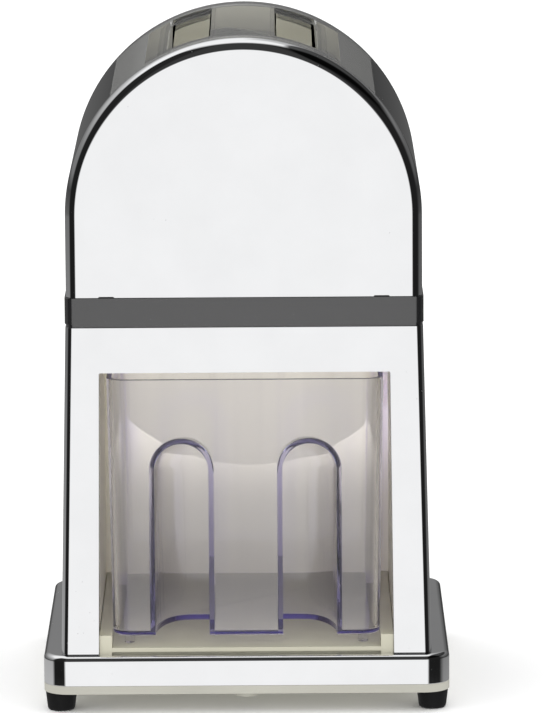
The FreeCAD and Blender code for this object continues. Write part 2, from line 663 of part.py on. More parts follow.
def make_bay_liner():
    body = new_body("bay_liner")
    front = f"(housing_wall - {HALF_DEPTH})"
    half = "(bay_width / 2 + liner_wall)"
    outside = rectangle(plan_sketch(body, DECK), f"-{half}", half, front, f"{BAY_BACK} + liner_wall")
    pad(body, outside, f"{BAY_ROOF} + liner_wall - {DECK}")
    inside = rectangle(plan_sketch(body, DECK), "-bay_width / 2", "bay_width / 2", front, BAY_BACK)
    pocket(body, inside, f"{BAY_ROOF} - {DECK}", turned_round=True)
    spout = centred(plan_sketch(body, f"{BAY_ROOF} + liner_wall"), *SPOUT_HOLE)
    pocket(body, spout, "liner_wall * 2")


def make_bay_tray():
    body = new_body("bay_tray")
    half = "(opening_bottom_width / 2 - fastener_clearance)"
    front = f"(tray_setback - {HALF_DEPTH})"
    floor = rectangle(plan_sketch(body, DECK), f"-{half}", half, front, f"{BAY_BACK} - fastener_clearance")
    pad(body, floor, "tray_thickness + rail_height")
    channel = rectangle(plan_sketch(body, f"{TRAY_TOP} + rail_height"), f"rail_width - {half}",
                        f"{half} - rail_width", f"-{HALF_DEPTH}", BAY_BACK)
    pocket(body, channel, "rail_height")
    shadow = rectangle(plan_sketch(body, DECK), f"rail_width - {half}", f"{half} - rail_width",
                       f"-{HALF_DEPTH}", f"{front} + 2 * tray_shadow")
    pocket(body, shadow, "tray_shadow", turned_round=True)


# ---- collar ---------------------------------------------------------------------------------

def make_collar():
    body = new_body("collar")
    wide, deep = "2 * (arch_radius + collar_overhang)", "housing_depth + 2 * collar_overhang"
    band = centred(plan_sketch(body, f"{COLLAR_BOTTOM} + seam_height"), wide, deep)
    pad(body, band, "collar_height - seam_height")
    round_uprights(body, "collar_corner")
    pad(body, rounded_plan(body, COLLAR_BOTTOM, f"{wide} - 2 * seam_depth", f"{deep} - 2 * seam_depth",
                           "collar_corner - seam_depth"), "seam_height")
    lip_width = "2 * (arch_radius - shell_wall - lid_gap)"
    lip_depth = "housing_depth - 2 * housing_wall - 2 * lid_gap"
    pad(body, centred(plan_sketch(body, f"{COLLAR_BOTTOM} - lip_height"), lip_width, lip_depth),
        "collar_height + 2 * lip_height")
    room = (f"{lip_width} - 2 * lip_thickness", f"{lip_depth} - 2 * lip_thickness")
    above = centred(plan_sketch(body, f"{COLLAR_TOP} + lip_height"), *room)
    pocket(body, above, f"{COLLAR_TOP} + lip_height - {WEB_TOP}")
    below = centred(plan_sketch(body, f"{COLLAR_BOTTOM} - lip_height"), *room)
    pocket(body, below, "web_lift + lip_height", turned_round=True)
    spout = centred(plan_sketch(body, WEB_TOP), *SPOUT_HOLE)
    pocket(body, spout, "web_thickness * 2")
    holes = plan_sketch(body, WEB_TOP)
    for across, deep in FLANGE_SPOTS:
        circle(holes, across, deep, SCREW_HOLE)
    pocket(body, holes, "web_thickness * 2")


# ---- upper housing --------------------------------------------------------------------------

POST_RING = "(arch_radius - shell_wall - 0.9 * cover_post_radius)"
COVER_POSTS = [(f"{side} * {POST_RING} * sin(cover_post_angle * 1deg)",
                f"{AXIS} + {POST_RING} * cos(cover_post_angle * 1deg)") for side in (-1, 1)]
COVER_POSTS += [(f"{side} * {POST_RING}", f"{COLLAR_TOP} + cover_post_lift") for side in (-1, 1)]


def make_upper_shell():
    body = new_body("upper_shell")
    length = f"2 * {SHELL_HALF}"
    pad(body, arch(front_sketch(body), "arch_radius", AXIS, COLLAR_TOP), length, both_ways=True)
    pocket(body, arch(front_sketch(body), "arch_radius - shell_wall", AXIS, f"{COLLAR_TOP} - shell_wall"),
           length, both_ways=True)
    band = sector(front_sketch(body), "arch_radius - shell_wall - ledge_thickness",
                  "arch_radius - shell_wall / 2", "ledge_angle", AXIS)
    pad(body, band, length, both_ways=True)
    seat = sector(front_sketch(body), "arch_radius - shell_wall", "arch_radius + shell_wall", "lid_angle",
                  AXIS)
    pocket(body, seat, f"{length} + shell_wall", both_ways=True)
    mouth = centred(plan_sketch(body, f"{AXIS} + arch_radius"), "mouth_width", f"2 * {CHAMBER_HALF}")
    pocket(body, mouth, "arch_radius / 2")
    posts = front_sketch(body)
    for across, up in COVER_POSTS:
        circle(posts, across, up, "cover_post_radius")
    pad(body, posts, length, both_ways=True)
    for end, way in ((-1, True), (1, False)):
        holes = front_sketch(body, f"{end} * {SHELL_HALF}")
        for across, up in COVER_POSTS:
            circle(holes, across, up, SCREW_HOLE)
        pocket(body, holes, "screw_length + fastener_clearance", turned_round=end > 0)


def make_cover(name, side):
    """Front (side -1) or rear (side +1) cover of the arched housing."""
    body = new_body(name)
    outer = f"{side} * {HALF_DEPTH}"
    inner = f"{side} * {SHELL_HALF}"
    pad(body, arch(front_sketch(body, inner), "arch_radius", AXIS, COLLAR_TOP), "cover_depth",
        turned_round=side > 0)
    face = reach(body.Shape, "y", side)
    foot = reach(body.Shape, "z", -1)
    rounded(body, "cover_round", lambda point: near(point.y, face), lambda point: near(point.z, foot))
    room = arch(front_sketch(body, inner), "arch_radius - shell_wall", AXIS, f"{COLLAR_TOP} - shell_wall")
    pocket(body, room, "cover_depth - cover_wall", turned_round=side < 0)
    return body


def make_covers():
    front = make_cover("front_cover", -1)
    pegs = front_sketch(front, f"peg_length - {SHELL_HALF}")
    for across, up in COVER_POSTS:
        circle(pegs, across, up, "screw_radius")
    pad(front, pegs, "peg_length + cover_depth - cover_wall / 2")
    notches = front_sketch(front, f"-{HALF_DEPTH}")
    for side in (-1, 1):
        middle = f"{side} * notch_place"
        rectangle(notches, f"{middle} - notch_width / 2", f"{middle} + notch_width / 2", COLLAR_TOP,
                  f"{COLLAR_TOP} + notch_height")
    pocket(front, notches, "cover_wall * 2")
    rear = make_cover("rear_cover", 1)
    hubs = front_sketch(rear, SHELL_HALF)
    for across, up in COVER_POSTS:
        circle(hubs, across, up, "cover_post_radius")
    pad(rear, hubs, "cover_depth - cover_wall / 2", turned_round=True)
    holes = front_sketch(rear, HALF_DEPTH)
    for across, up in COVER_POSTS:
        circle(holes, across, up, SCREW_HOLE)
    circle(holes, "0", AXIS, "shaft_hole_radius")
    pocket(rear, holes, "cover_depth * 2", turned_round=True)
    screws("cover_screws", [(x, HALF_DEPTH, z) for x, z in COVER_POSTS], FreeCAD.Vector(0, -1, 0))


def make_top_lid():
    body = new_body("top_lid")
    inner = "arch_radius - shell_wall + lid_gap"
    length = f"2 * ({SHELL_HALF} - lid_gap)"
    angle = "lid_angle - lid_gap / arch_radius * 180 / pi"
    pad(body, sector(front_sketch(body), inner, "arch_radius", angle, AXIS), length, both_ways=True)
    for side in (-1, 1):
        box = pinch_plan(body, side, "pinch_wall")
        block = pad(body, box, "arch_radius - pinch_floor + 2 * pinch_wall")
        bind(block, "TaperAngle", "pinch_taper")
        doc.recompute()
    proud = sector(front_sketch(body), "arch_radius", BEYOND_ARCH, "lid_angle", AXIS)
    pocket(body, proud, length, both_ways=True)
    for side in (-1, 1):
        room = pocket(body, pinch_plan(body, side, "0"), "arch_radius - pinch_floor + pinch_wall",
                      turned_round=True)
        bind(room, "TaperAngle", "pinch_taper")
        doc.recompute()


def pinch_plan(body, side, wall):
    """Outline of a finger pocket at its floor, grown by a wall."""
    near_edge = f"{side} * (pinch_start - {wall})"
    far_edge = f"{side} * (pinch_start + pinch_width + {wall})"
    left, right = (near_edge, far_edge) if side > 0 else (far_edge, near_edge)
    half = f"(pinch_length / 2 + {wall})"
    sketch = plan_sketch(body, f"{AXIS} + pinch_floor - {wall}")
    return rounded_rectangle(sketch, left, right, f"-{half}", half, f"pinch_corner + {wall}")


# ---- hopper and crusher ---------------------------------------------------------------------

FLANGE_X = "(hopper_flange_width / 2 - screw_head_radius - fastener_clearance)"
FLANGE_Y = f"(2 * {FLANGE_HALF} / 3)"
FLANGE_SPOTS = [(f"{side} * {FLANGE_X}", f"{end} * {FLANGE_Y}") for side in (-1, 1) for end in (-1, 1)]
COMB_SCREW_Y = "(1.5 * blade_pitch)"
COMB_SCREW_Z = f"({AXIS} - comb_drop - comb_flange / 2 - comb_thickness / 2)"


def make_hopper():
    body = new_body("hopper")
    tube = "(chamber_width / 2 + hopper_wall)"
    mouth = "(mouth_width / 2 + hopper_wall)"
    flare = f"({AXIS} + chamber_top)"
    neck = f"({AXIS} + pinch_floor)"
    top = f"({AXIS} + arch_radius)"
    outline = polygon(front_sketch(body), [
        (f"-{tube}", SPOUT), (tube, SPOUT), (tube, flare), (mouth, neck), (mouth, top),
        (f"-{mouth}", top), (f"-{mouth}", neck), (f"-{tube}", flare)])
    pad(body, outline, f"2 * {HOPPER_HALF}", both_ways=True)
    flange = centred(plan_sketch(body, WEB_TOP), "hopper_flange_width", f"2 * {FLANGE_HALF}")
    pad(body, flange, "hopper_flange_thickness")
    boss = circle(front_sketch(body), "0", AXIS, "bush_boss_radius")
    pad(body, boss, f"2 * {BUSH_FACE}", both_ways=True)
    under = "arch_radius - shell_wall - ledge_thickness - seat_gap"
    cap = sector(front_sketch(body), under, BEYOND_ARCH, "ledge_angle", AXIS)
    pocket(body, cap, f"2 * {HOPPER_HALF}", both_ways=True)
    below = f"({SPOUT} - spout_gap)"
    room = polygon(front_sketch(body), [
        ("-chamber_width / 2", below), ("chamber_width / 2", below), ("chamber_width / 2", flare),
        ("mouth_width / 2", neck), ("mouth_width / 2", top), ("-mouth_width / 2", top),
        ("-mouth_width / 2", neck), ("-chamber_width / 2", flare)])
    pocket(body, room, f"2 * {CHAMBER_HALF}", both_ways=True)
    bore = circle(front_sketch(body), "0", AXIS, "bush_radius + bush_clearance")
    pocket(body, bore, "housing_depth", both_ways=True)
    holes = plan_sketch(body, f"{WEB_TOP} + hopper_flange_thickness")
    for across, deep in FLANGE_SPOTS:
        circle(holes, across, deep, SCREW_HOLE)
    pocket(body, holes, "hopper_flange_thickness * 2")
    side_holes = attached_sketch(body, "YZ_Plane", "0")
    for end in (-1, 1):
        circle(side_holes, f"{end} * {COMB_SCREW_Y}", COMB_SCREW_Z, SCREW_HOLE)
    pocket(body, side_holes, "chamber_width + 4 * hopper_wall", both_ways=True)
    screws("hopper_screws", [(x, y, f"{WEB_TOP} + hopper_flange_thickness") for x, y in FLANGE_SPOTS],
           FreeCAD.Vector(0, 0, -1), "hopper_flange_thickness + web_thickness")


def make_combs():
    for name, side in (("comb_left", -1), ("comb_right", 1)):
        body = new_body(name)
        wall = f"{side} * chamber_width / 2"
        inside = f"{side} * (chamber_width / 2 - comb_thickness)"
        tip = f"{side} * tine_reach"
        top = f"({AXIS} - comb_drop)"
        profile = polygon(front_sketch(body), [
            (tip, top), (wall, top), (wall, f"{top} - comb_flange"), (inside, f"{top} - comb_flange"),
            (inside, f"{top} - comb_thickness"), (tip, f"{top} - comb_thickness")])
        pad(body, profile, f"2 * ({CHAMBER_HALF} - comb_gap)", both_ways=True)
        root_gap = "(blade_pitch - tine_root) / 2"
        tip_gap = "(blade_pitch - tine_point) / 2"
        slit_end = f"{inside} - ({side}) * tine_web"
        slit_mouth = f"{tip} - ({side}) * tine_web"
        for number in range(BLADES):
            middle = f"{number - BLADES // 2} * blade_pitch"
            gap = polygon(plan_sketch(body, top), [
                (slit_end, f"{middle} - {root_gap}"), (slit_end, f"{middle} + {root_gap}"),
                (slit_mouth, f"{middle} + {tip_gap}"), (slit_mouth, f"{middle} - {tip_gap}")])
            pocket(body, gap, "comb_thickness * 2")
        holes = attached_sketch(body, "YZ_Plane", inside)
        for end in (-1, 1):
            circle(holes, f"{end} * {COMB_SCREW_Y}", COMB_SCREW_Z, SCREW_HOLE)
        pocket(body, holes, "comb_thickness * 3", both_ways=True)
    for name, side in (("comb_screws_left", -1), ("comb_screws_right", 1)):
        spots = [(f"{side} * (chamber_width / 2 + hopper_wall)", f"{end} * {COMB_SCREW_Y}", COMB_SCREW_Z)
                 for end in (-1, 1)]
        screws(name, spots, FreeCAD.Vector(-side, 0, 0), "hopper_wall + comb_thickness")


def make_blades():
    for number in range(BLADES):
        name = f"rotor_blade_{number + 1}"
        body = new_body(name)
        pad(body, circle(front_sketch(body), "0", "0", "blade_hub_radius"), "blade_thickness", both_ways=True)
        root = "blade_hub_radius - tooth_sink"
        tooth = polygon(front_sketch(body), [
            ("-tooth_root / 2", root), ("tooth_root / 2", root),
            ("tooth_root / 2 + tooth_lean / 3", "tooth_belly"), ("tooth_lean + tooth_tip / 2", "blade_reach"),
            ("tooth_lean - tooth_tip / 2", "blade_reach")])
        tooth_pad = pad(body, tooth, "blade_thickness", both_ways=True)
        ring = body.newObject("PartDesign::PolarPattern", name + "_teeth")
        ring.Originals = [tooth_pad]
        ring.Axis = (tooth, ["N_Axis"])
        ring.Angle = 360
        bind(ring, "Occurrences", "blade_teeth")
        body.Tip = ring
        doc.recompute()
        side = "shaft_square + 2 * square_clearance"
        bore = centred(front_sketch(body), side, side)
        turn = FreeCAD.Rotation(FreeCAD.Vector(0, 0, 1), 1)
        bore.AttachmentOffset = FreeCAD.Placement(FreeCAD.Vector(), turn)
        bind(bore, "AttachmentOffset.Rotation.Angle", f"{number} * blade_stagger * 1deg")
        pocket(body, bore, "blade_thickness * 2", both_ways=True)
        body.Placement = FreeCAD.Placement(FreeCAD.Vector(), FreeCAD.Rotation(FreeCAD.Vector(0, 1, 0), 1))
        bind(body, "Placement.Rotation.Angle", f"{number} * blade_stagger * 1deg")
        place_at(body, "0", f"{number - BLADES // 2} * blade_pitch", AXIS)


def make_spacers():
    bore = "shaft_square / 2 * sqrt(2) + spacer_clearance"
    between = "(blade_pitch - blade_thickness)"
    middle = BLADES // 2
    last = f"({middle} * blade_pitch + blade_thickness / 2)"
    end = f"({CHAMBER_HALF} - {last} - end_float)"
    lengths = [("end_spacer_front", end, f"-{last} - {end}"), ("end_spacer_rear", end, last)]
    for number in range(BLADES - 1):
        start = f"{number - middle} * blade_pitch + blade_thickness / 2"
        lengths.append((f"spacer_{number + 1}", between, start))
    for name, length, start in lengths:
        tube = turned(name, [(bore, "0"), ("spacer_radius", "0"), ("spacer_radius", length), (bore, length)])
        lay_back(tube)
        place_at(tube, "0", start, AXIS)


def make_shaft():
    body = new_body("drive_shaft")
    sketch = attached_sketch(body, "YZ_Plane", "0")
    half = f"({CHAMBER_HALF} - end_float)"
    front = f"(-({CLIP_FACE} + clip_thickness + end_float / 2 + shaft_tail))"
    groove_front = f"(-({CLIP_FACE} + clip_thickness + end_float / 2))"
    groove_back = f"(-({CLIP_FACE} - end_float / 2))"
    polygon(sketch, [
        (front, "0"), (front, "front_journal_radius"), (groove_front, "front_journal_radius"),
        (groove_front, "clip_groove_radius"), (groove_back, "clip_groove_radius"),
        (groove_back, "front_journal_radius"), (f"-{half}", "front_journal_radius"),
        (f"-{half}", "rear_journal_radius"), (HUB_FACE, "rear_journal_radius"), (HUB_FACE, "0")])
    feature = body.newObject("PartDesign::Revolution", "drive_shaft_revolution")
    feature.Profile = sketch
    feature.ReferenceAxis = (sketch, ["H_Axis"])
    feature.Angle = 360
    doc.recompute()
    pad(body, centred(front_sketch(body), "shaft_square", "shaft_square"), f"2 * {half}", both_ways=True)
    end = centred(front_sketch(body, HUB_FACE), "crank_square", "crank_square")
    pad(body, end, "crank_seat_depth - end_float", turned_round=True)
    hole = circle(front_sketch(body, f"{HUB_FACE} + crank_seat_depth"), "0", "0", SCREW_HOLE)
    pocket(body, hole, "screw_length", turned_round=True)
    place_at(body, "0", "0", AXIS)


def make_bushes():
    barrel = "hopper_wall + bush_boss_length"
    for end, side in (("front", -1), ("rear", 1)):
        bore = f"{end}_journal_radius + running_clearance"
        bush = turned(f"{end}_bush", [
            (bore, "0"), ("bush_radius", "0"), ("bush_radius", barrel), ("bush_flange_radius", barrel),
            ("bush_flange_radius", f"{barrel} + bush_flange"), (bore, f"{barrel} + bush_flange")])
        if side > 0:
            lay_back(bush)
        else:
            lay_forward(bush)
        place_at(bush, "0", f"{side} * {CHAMBER_HALF}", AXIS)
    bore = "clip_groove_radius + square_clearance"
    clip = turned("shaft_clip", [
        (bore, "0"), ("clip_radius", "0"), ("clip_radius", "clip_thickness"), (bore, "clip_thickness")])
    lay_forward(clip)
    place_at(clip, "0", f"-{CLIP_FACE}", AXIS)


# ---- crank ----------------------------------------------------------------------------------

KNOB_Z = f"({AXIS} - crank_length)"
KNOB_FACE = f"({ARM_BACK} + knob_gap)"


def make_arm():
    arm = new_body("crank_arm")
    pad(arm, circle(front_sketch(arm, HUB_FACE), "0", AXIS, "crank_hub_radius"), "crank_hub_length",
        turned_round=True)
    bar = polygon(front_sketch(arm, ARM_FACE), [
        ("-crank_end_radius", KNOB_Z), ("crank_end_radius", KNOB_Z),
        ("crank_arm_root / 2", AXIS), ("-crank_arm_root / 2", AXIS)])
    pad(arm, bar, "crank_arm_thickness", turned_round=True)
    eye = circle(front_sketch(arm, ARM_FACE), "0", KNOB_Z, "crank_end_radius")
    pad(arm, eye, "crank_arm_thickness", turned_round=True)
    rim = reach(arm.Shape, "y", 1)
    rounded(arm, "crank_round", lambda point: near(point.y, rim))
    seat = front_sketch(arm, HUB_FACE)
    half = "(crank_square / 2 + square_clearance)"
    rectangle(seat, f"-{half}", half, f"{AXIS} - {half}", f"{AXIS} + {half}")
    pocket(arm, seat, "crank_seat_depth")
    hole = front_sketch(arm, HUB_FACE)
    circle(hole, "0", AXIS, SCREW_HOLE)
    circle(hole, "0", KNOB_Z, "pin_tail_radius + fastener_clearance")
    pocket(arm, hole, "crank_hub_length * 2")
    head = circle(front_sketch(arm, f"{HUB_FACE} + crank_hub_length"), "0", AXIS,
                  "screw_head_radius + fastener_clearance")
    pocket(arm, head, "cap_depth + screw_head", turned_round=True)
    cap_seat = circle(front_sketch(arm, f"{HUB_FACE} + crank_hub_length"), "0", AXIS,
                      "cap_radius + fastener_clearance")
    pocket(arm, cap_seat, "cap_depth", turned_round=True)


def make_hub_parts():
    """Cap and screw at the back of the crank's hub, and the washer in front of it."""
    cap = turned("crank_cap", [
        ("0", "0"), ("cap_radius", "0"), ("cap_radius", "cap_depth"),
        ("cap_radius - cap_bevel", "cap_depth + cap_dome"), ("0", "cap_depth + cap_dome")])
    lay_back(cap)
    place_at(cap, "0", f"{HUB_FACE} + crank_hub_length - cap_depth", AXIS)
    bore = "rear_journal_radius + square_clearance"
    washer = turned("crank_washer", [
        (bore, "0"), ("washer_radius", "0"), ("washer_radius", "washer_thickness"),
        (bore, "washer_thickness")])
    lay_back(washer)
    place_at(washer, "0", f"{HUB_FACE} - washer_thickness", AXIS)
    head = f"{HUB_FACE} + crank_hub_length - cap_depth - screw_head"
    screws("crank_screw", [("0", head, AXIS)], FreeCAD.Vector(0, -1, 0))


def make_knob():
    bore = "pin_radius + knob_clearance"
    recess = "pin_head_radius + knob_gap"
    shoulder = "knob_length - pin_head - knob_gap"
    knob = turned("crank_knob", [
        (bore, "0"), ("knob_neck_radius", "0"), ("knob_neck_radius + knob_flare", "knob_flare_length"),
        ("knob_radius", "knob_belly"), ("knob_tip_radius", "knob_length"), (recess, "knob_length"),
        (recess, shoulder), (bore, shoulder)])
    tip = reach(knob.Shape, "z", 1)
    widest = reach(knob.Shape, "x", 1)
    outside = (widest + sheet.pin_head_radius) / 2
    rounded(knob, "knob_round", lambda point: near(point.z, tip) and math.hypot(point.x, point.y) > outside)
    lay_back(knob)
    place_at(knob, "0", KNOB_FACE, KNOB_Z)
    tail = f"({ARM_BACK} - {ARM_FACE})"
    under_head = "knob_length - pin_head + knob_gap"
    pin = turned("knob_pin", [
        ("0", f"-{tail}"), ("pin_tail_radius", f"-{tail}"), ("pin_tail_radius", "0"), ("pin_radius", "0"),
        ("pin_radius", under_head), ("pin_head_radius", under_head),
        ("pin_head_radius", "knob_length + knob_gap"), ("0", "knob_length + knob_gap")])
    lay_back(pin)
    place_at(pin, "0", ARM_BACK, KNOB_Z)


# ---- drawer ---------------------------------------------------------------------------------

DRAWER_FRONT = f"(drawer_setback - {HALF_DEPTH})"
GROOVE_RUN = f"(groove_top - {DRAWER_FLOOR})"


def groove_sections(body, side, grown, front, below):
    """Outlines of a finger groove from the drawer's front to its back, grown outwards on all sides.

    The inner side runs straight back, while the outer side and the top close in along a quarter ellipse.
    """
    face = arch(front_sketch(body, front), f"groove_width / 2 + {grown}", "groove_top - groove_width / 2",
                f"{DRAWER_FLOOR} - {below}", f"{side} * (groove_inner + groove_width / 2)")
    sections = [face]
    for bend in GROOVE_BENDS:
        share = f"sin({bend} * 1deg)"
        closing = f"(1 - cos({bend} * 1deg))"
        half = f"((groove_width - groove_narrow * {closing}) / 2)"
        depth = f"(groove_depth_foot * {share})"
        tilt = f"atan((groove_depth_foot - groove_depth_top) * {share} / {GROOVE_RUN})"
        sketch = front_sketch(body, f"{DRAWER_FRONT} + {depth} + {grown} * {share}")
        bind(sketch, "AttachmentOffset.Base.y", DRAWER_FLOOR)
        lean_axis = FreeCAD.Rotation(FreeCAD.Vector(1, 0, 0), 1)
        sketch.AttachmentOffset = FreeCAD.Placement(sketch.AttachmentOffset.Base, lean_axis)
        bind(sketch, "AttachmentOffset.Rotation.Angle", tilt)
        arch(sketch, f"{half} + {grown}", f"({GROOVE_RUN} - groove_step * {closing} - {half}) / cos({tilt})",
             f"-({below})", f"{side} * (groove_inner + {half})")
        sections.append(sketch)
    return sections


def loft(body, kind, sections):
    feature = body.newObject("PartDesign::" + kind, body.Name + "_" + kind.lower())
    feature.Profile = sections[0]
    feature.Sections = sections[1:]
    feature.Ruled = False
    doc.recompute()
    return feature


def make_drawer():
    body = new_body("drawer")
    half = "(drawer_bottom_width / 2)"
    foot = rounded_rectangle(plan_sketch(body, DRAWER_FLOOR), f"-{half}", half, DRAWER_FRONT, DRAWER_BACK,
                             "drawer_corner")
    block = pad(body, foot, "drawer_height")
    bind(block, "TaperAngle", "drawer_taper")
    doc.recompute()
    inside = rounded_rectangle(plan_sketch(body, f"{DRAWER_FLOOR} + drawer_wall"), f"drawer_wall - {half}",
                               f"{half} - drawer_wall", f"{DRAWER_FRONT} + drawer_wall",
                               f"{DRAWER_BACK} - drawer_wall", "drawer_corner - drawer_wall")
    room = pocket(body, inside, "drawer_height", turned_round=True)
    bind(room, "TaperAngle", "drawer_taper")
    doc.recompute()
    floor = reach(room.Shape, "z", -1)
    rounded(body, "drawer_foot_round", lambda point: near(point.z, floor))
    nubs = plan_sketch(body, f"{TRAY_TOP} + nub_gap")
    for side in (-1, 1):
        for deep in (f"{DRAWER_FRONT} + nub_inset", f"{DRAWER_BACK} - nub_inset"):
            circle(nubs, f"{side} * nub_spread", deep, "nub_radius")
    pad(body, nubs, "drawer_lift - nub_gap + drawer_wall / 2")
    for side in (-1, 1):
        loft(body, "AdditiveLoft", groove_sections(body, side, "drawer_wall", DRAWER_FRONT, "0"))
    outside = f"({DRAWER_FRONT} - drawer_height * tan(drawer_taper * 1deg))"
    for side in (-1, 1):
        loft(body, "SubtractiveLoft", groove_sections(body, side, "0", outside, "drawer_wall"))


def build():
    make_base_pan()
    make_base_shell()
    make_feet()
    make_base_screws()
    make_lower_housing()
    make_bay_liner()
    make_bay_tray()
    make_collar()
    make_upper_shell()
    make_covers()
    make_top_lid()
    make_hopper()
    make_combs()
    make_blades()
    make_spacers()
    make_shaft()
    make_bushes()
    make_arm()
    make_hub_parts()
    make_knob()
    make_drawer()


def check():
    for thing in doc.Objects:
        if "Invalid" in thing.State or "Error" in thing.State:
            raise RuntimeError(f"{thing.Label}: {thing.State}")
    for name, thing in parts.items():
        if thing.Shape.isNull() or not thing.Shape.isValid():
            raise RuntimeError(name + " is not a valid shape")


def export():
    os.makedirs("parts", exist_ok=True)
    for name, thing in parts.items():
        thing.Shape.exportStep(f"parts/{name}.step")


build()
doc.recompute()
check()
export()
print(len(parts), "parts")
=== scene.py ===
"""Looks of a hand crank ice crusher: chromed housing, dark band, clear drawer and smoked lid.

Sizes are in millimetres, +Z is up, +X to the right and -Y the front with the drawer.
"""

import logging
import math
from collections.abc import Callable, Iterator, Sequence
from contextlib import contextmanager
from dataclasses import dataclass, field
from enum import Enum

import bmesh
import bpy
from mathutils import Matrix, Vector


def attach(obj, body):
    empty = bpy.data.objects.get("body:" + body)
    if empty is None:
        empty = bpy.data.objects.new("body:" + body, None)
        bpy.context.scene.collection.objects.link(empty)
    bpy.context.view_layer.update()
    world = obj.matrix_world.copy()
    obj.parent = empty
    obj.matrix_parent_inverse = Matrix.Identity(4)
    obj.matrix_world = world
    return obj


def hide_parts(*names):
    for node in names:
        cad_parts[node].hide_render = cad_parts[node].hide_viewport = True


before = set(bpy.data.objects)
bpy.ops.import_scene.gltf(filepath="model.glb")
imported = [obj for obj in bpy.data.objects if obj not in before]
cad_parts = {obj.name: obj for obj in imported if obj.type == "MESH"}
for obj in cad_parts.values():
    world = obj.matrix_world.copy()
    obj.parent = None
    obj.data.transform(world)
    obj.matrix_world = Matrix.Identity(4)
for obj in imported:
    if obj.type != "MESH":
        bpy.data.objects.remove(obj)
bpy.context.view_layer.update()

MM = 0.001          # metres in a millimetre
SLACK = 0.01        # lengths nearer than this are the same, in millimetres
WELD = 1e-6         # corners nearer than this become one, in metres
FINE_WELD = 1e-7
OVER = 1.0          # how far a cutting tool stands out of what it cuts, in millimetres
SIDES = (-1, 1)
log = logging.getLogger("ice_crusher")

Point = tuple[float, float, float]
Colour = tuple[float, float, float]
Pair = tuple[float, float]
Pairs = tuple[Pair, ...]
Pattern = tuple[float, float, Point]
Piece = bpy.types.Object
Socket = bpy.types.NodeSocket
Test = Callable[[Vector], bool]


class Side(Enum):
    """Front or rear of the object, as the sign of Y."""

    FRONT = -1
    REAR = 1


class Axis(Enum):
    """Axis that a round piece stands on, as a direction."""

    Y = (0, 1, 0)
    Z = (0, 0, 1)


class Way(Enum):
    """How a tool changes a piece."""

    CUT = "DIFFERENCE"
    ADD = "UNION"


class Part(Enum):
    """Kinds of mesh element that can be picked."""

    VERTS = "VERT"
    EDGES = "EDGE"
    FACES = "FACE"


# ---- modelling by hand ----------------------------------------------------------------------

def mm(*numbers: float) -> tuple[float, ...]:
    """Millimetres as Blender's metres."""
    return tuple(number * MM for number in numbers)


def near(value: float, target: float) -> bool:
    """Whether two lengths in millimetres are the same."""
    return abs(value - target) < SLACK


def alone(piece: Piece) -> None:
    """Select one piece and nothing else, and make it active.

    Args:
        piece: the piece.
    """
    bpy.ops.object.select_all(action="DESELECT")
    piece.select_set(True)
    bpy.context.view_layer.objects.active = piece


def named(name: str) -> Piece:
    """Name the piece just added, with its place and turn put into its mesh.

    Args:
        name: the piece's name.

    Returns:
        The piece.
    """
    piece = bpy.context.active_object
    piece.name = piece.data.name = name
    alone(piece)
    bpy.ops.object.transform_apply(location=True, rotation=True, scale=True)
    return piece


def block(name: str, low: Point, high: Point) -> Piece:
    """Box between two corners.

    Args:
        name: name of the new piece.
        low: its lowest corner in millimetres.
        high: its highest corner in millimetres.

    Returns:
        The new piece.
    """
    bpy.ops.object.select_all(action="DESELECT")
    middle = [(a + b) / 2 for a, b in zip(low, high)]
    bpy.ops.mesh.primitive_cube_add(size=1, location=mm(*middle))
    bpy.context.active_object.scale = mm(*[b - a for a, b in zip(low, high)])
    return named(name)


def ring(name: str, radius: float, centre: Point, corners: int, axis: Axis = Axis.Y) -> Piece:
    """Open circle of edges about an axis.

    Args:
        name: name of the piece it starts.
        radius: radius in millimetres.
        centre: its centre in millimetres.
        corners: number of corners, a multiple of four.
        axis: the axis it goes round.

    Returns:
        The new piece.
    """
    bpy.ops.object.select_all(action="DESELECT")
    turn = (math.pi / 2, 0, 0) if axis is Axis.Y else (0, 0, 0)
    bpy.ops.mesh.primitive_circle_add(vertices=corners, radius=radius * MM, fill_type="NOTHING",
                                      location=mm(*centre), rotation=turn)
    return named(name)


def lathe(name: str, profile: Sequence[Pair], centre: Point, corners: int, axis: Axis = Axis.Y) -> Piece:
    """Piece of revolution from (radius, place along the axis) corners, in millimetres.

    Args:
        name: name of the new piece.
        profile: corners of a closed section, or of one whose two ends get flat caps.
        centre: where the profile's place zero lies.
        corners: number of corners round the axis.
        axis: the axis it goes round.

    Returns:
        The new piece.
    """
    along = Vector(axis.value)
    radius, place = profile[0]
    piece = ring(name, radius, tuple(Vector(centre) + along * place), corners, axis)
    capped = profile[0] != profile[-1]
    with editing(piece):
        pick(piece, Part.EDGES)
        if capped:
            bpy.ops.mesh.edge_face_add()
            pick(piece, Part.EDGES)
        for wider, further in profile[1:]:
            push(*(along * (further - place)))
            grown = wider / radius
            factors = (grown, 1, grown) if axis is Axis.Y else (grown, grown, 1)
            stretch(factors, tuple(Vector(centre) + along * further))
            radius, place = wider, further
        if capped:
            bpy.ops.mesh.edge_face_add()
        else:
            pick_all()
            bpy.ops.mesh.remove_doubles(threshold=FINE_WELD)
    face_outwards(piece)
    return piece


def peg(name: str, radius: float, centre: Point, corners: int, step: Point,
        axis: Axis = Axis.Y) -> Piece:
    """Solid round bar.

    Args:
        name: name of the new piece.
        radius: radius in millimetres.
        centre: middle of its first end in millimetres.
        corners: number of corners round it.
        step: way from its first end to its last in millimetres.
        axis: the axis it goes round.

    Returns:
        The new piece.
    """
    piece = ring(name, radius, centre, corners, axis)
    with editing(piece):
        pick(piece, Part.EDGES)
        bpy.ops.mesh.edge_face_add()
        push(*step)
    face_outwards(piece)
    return piece


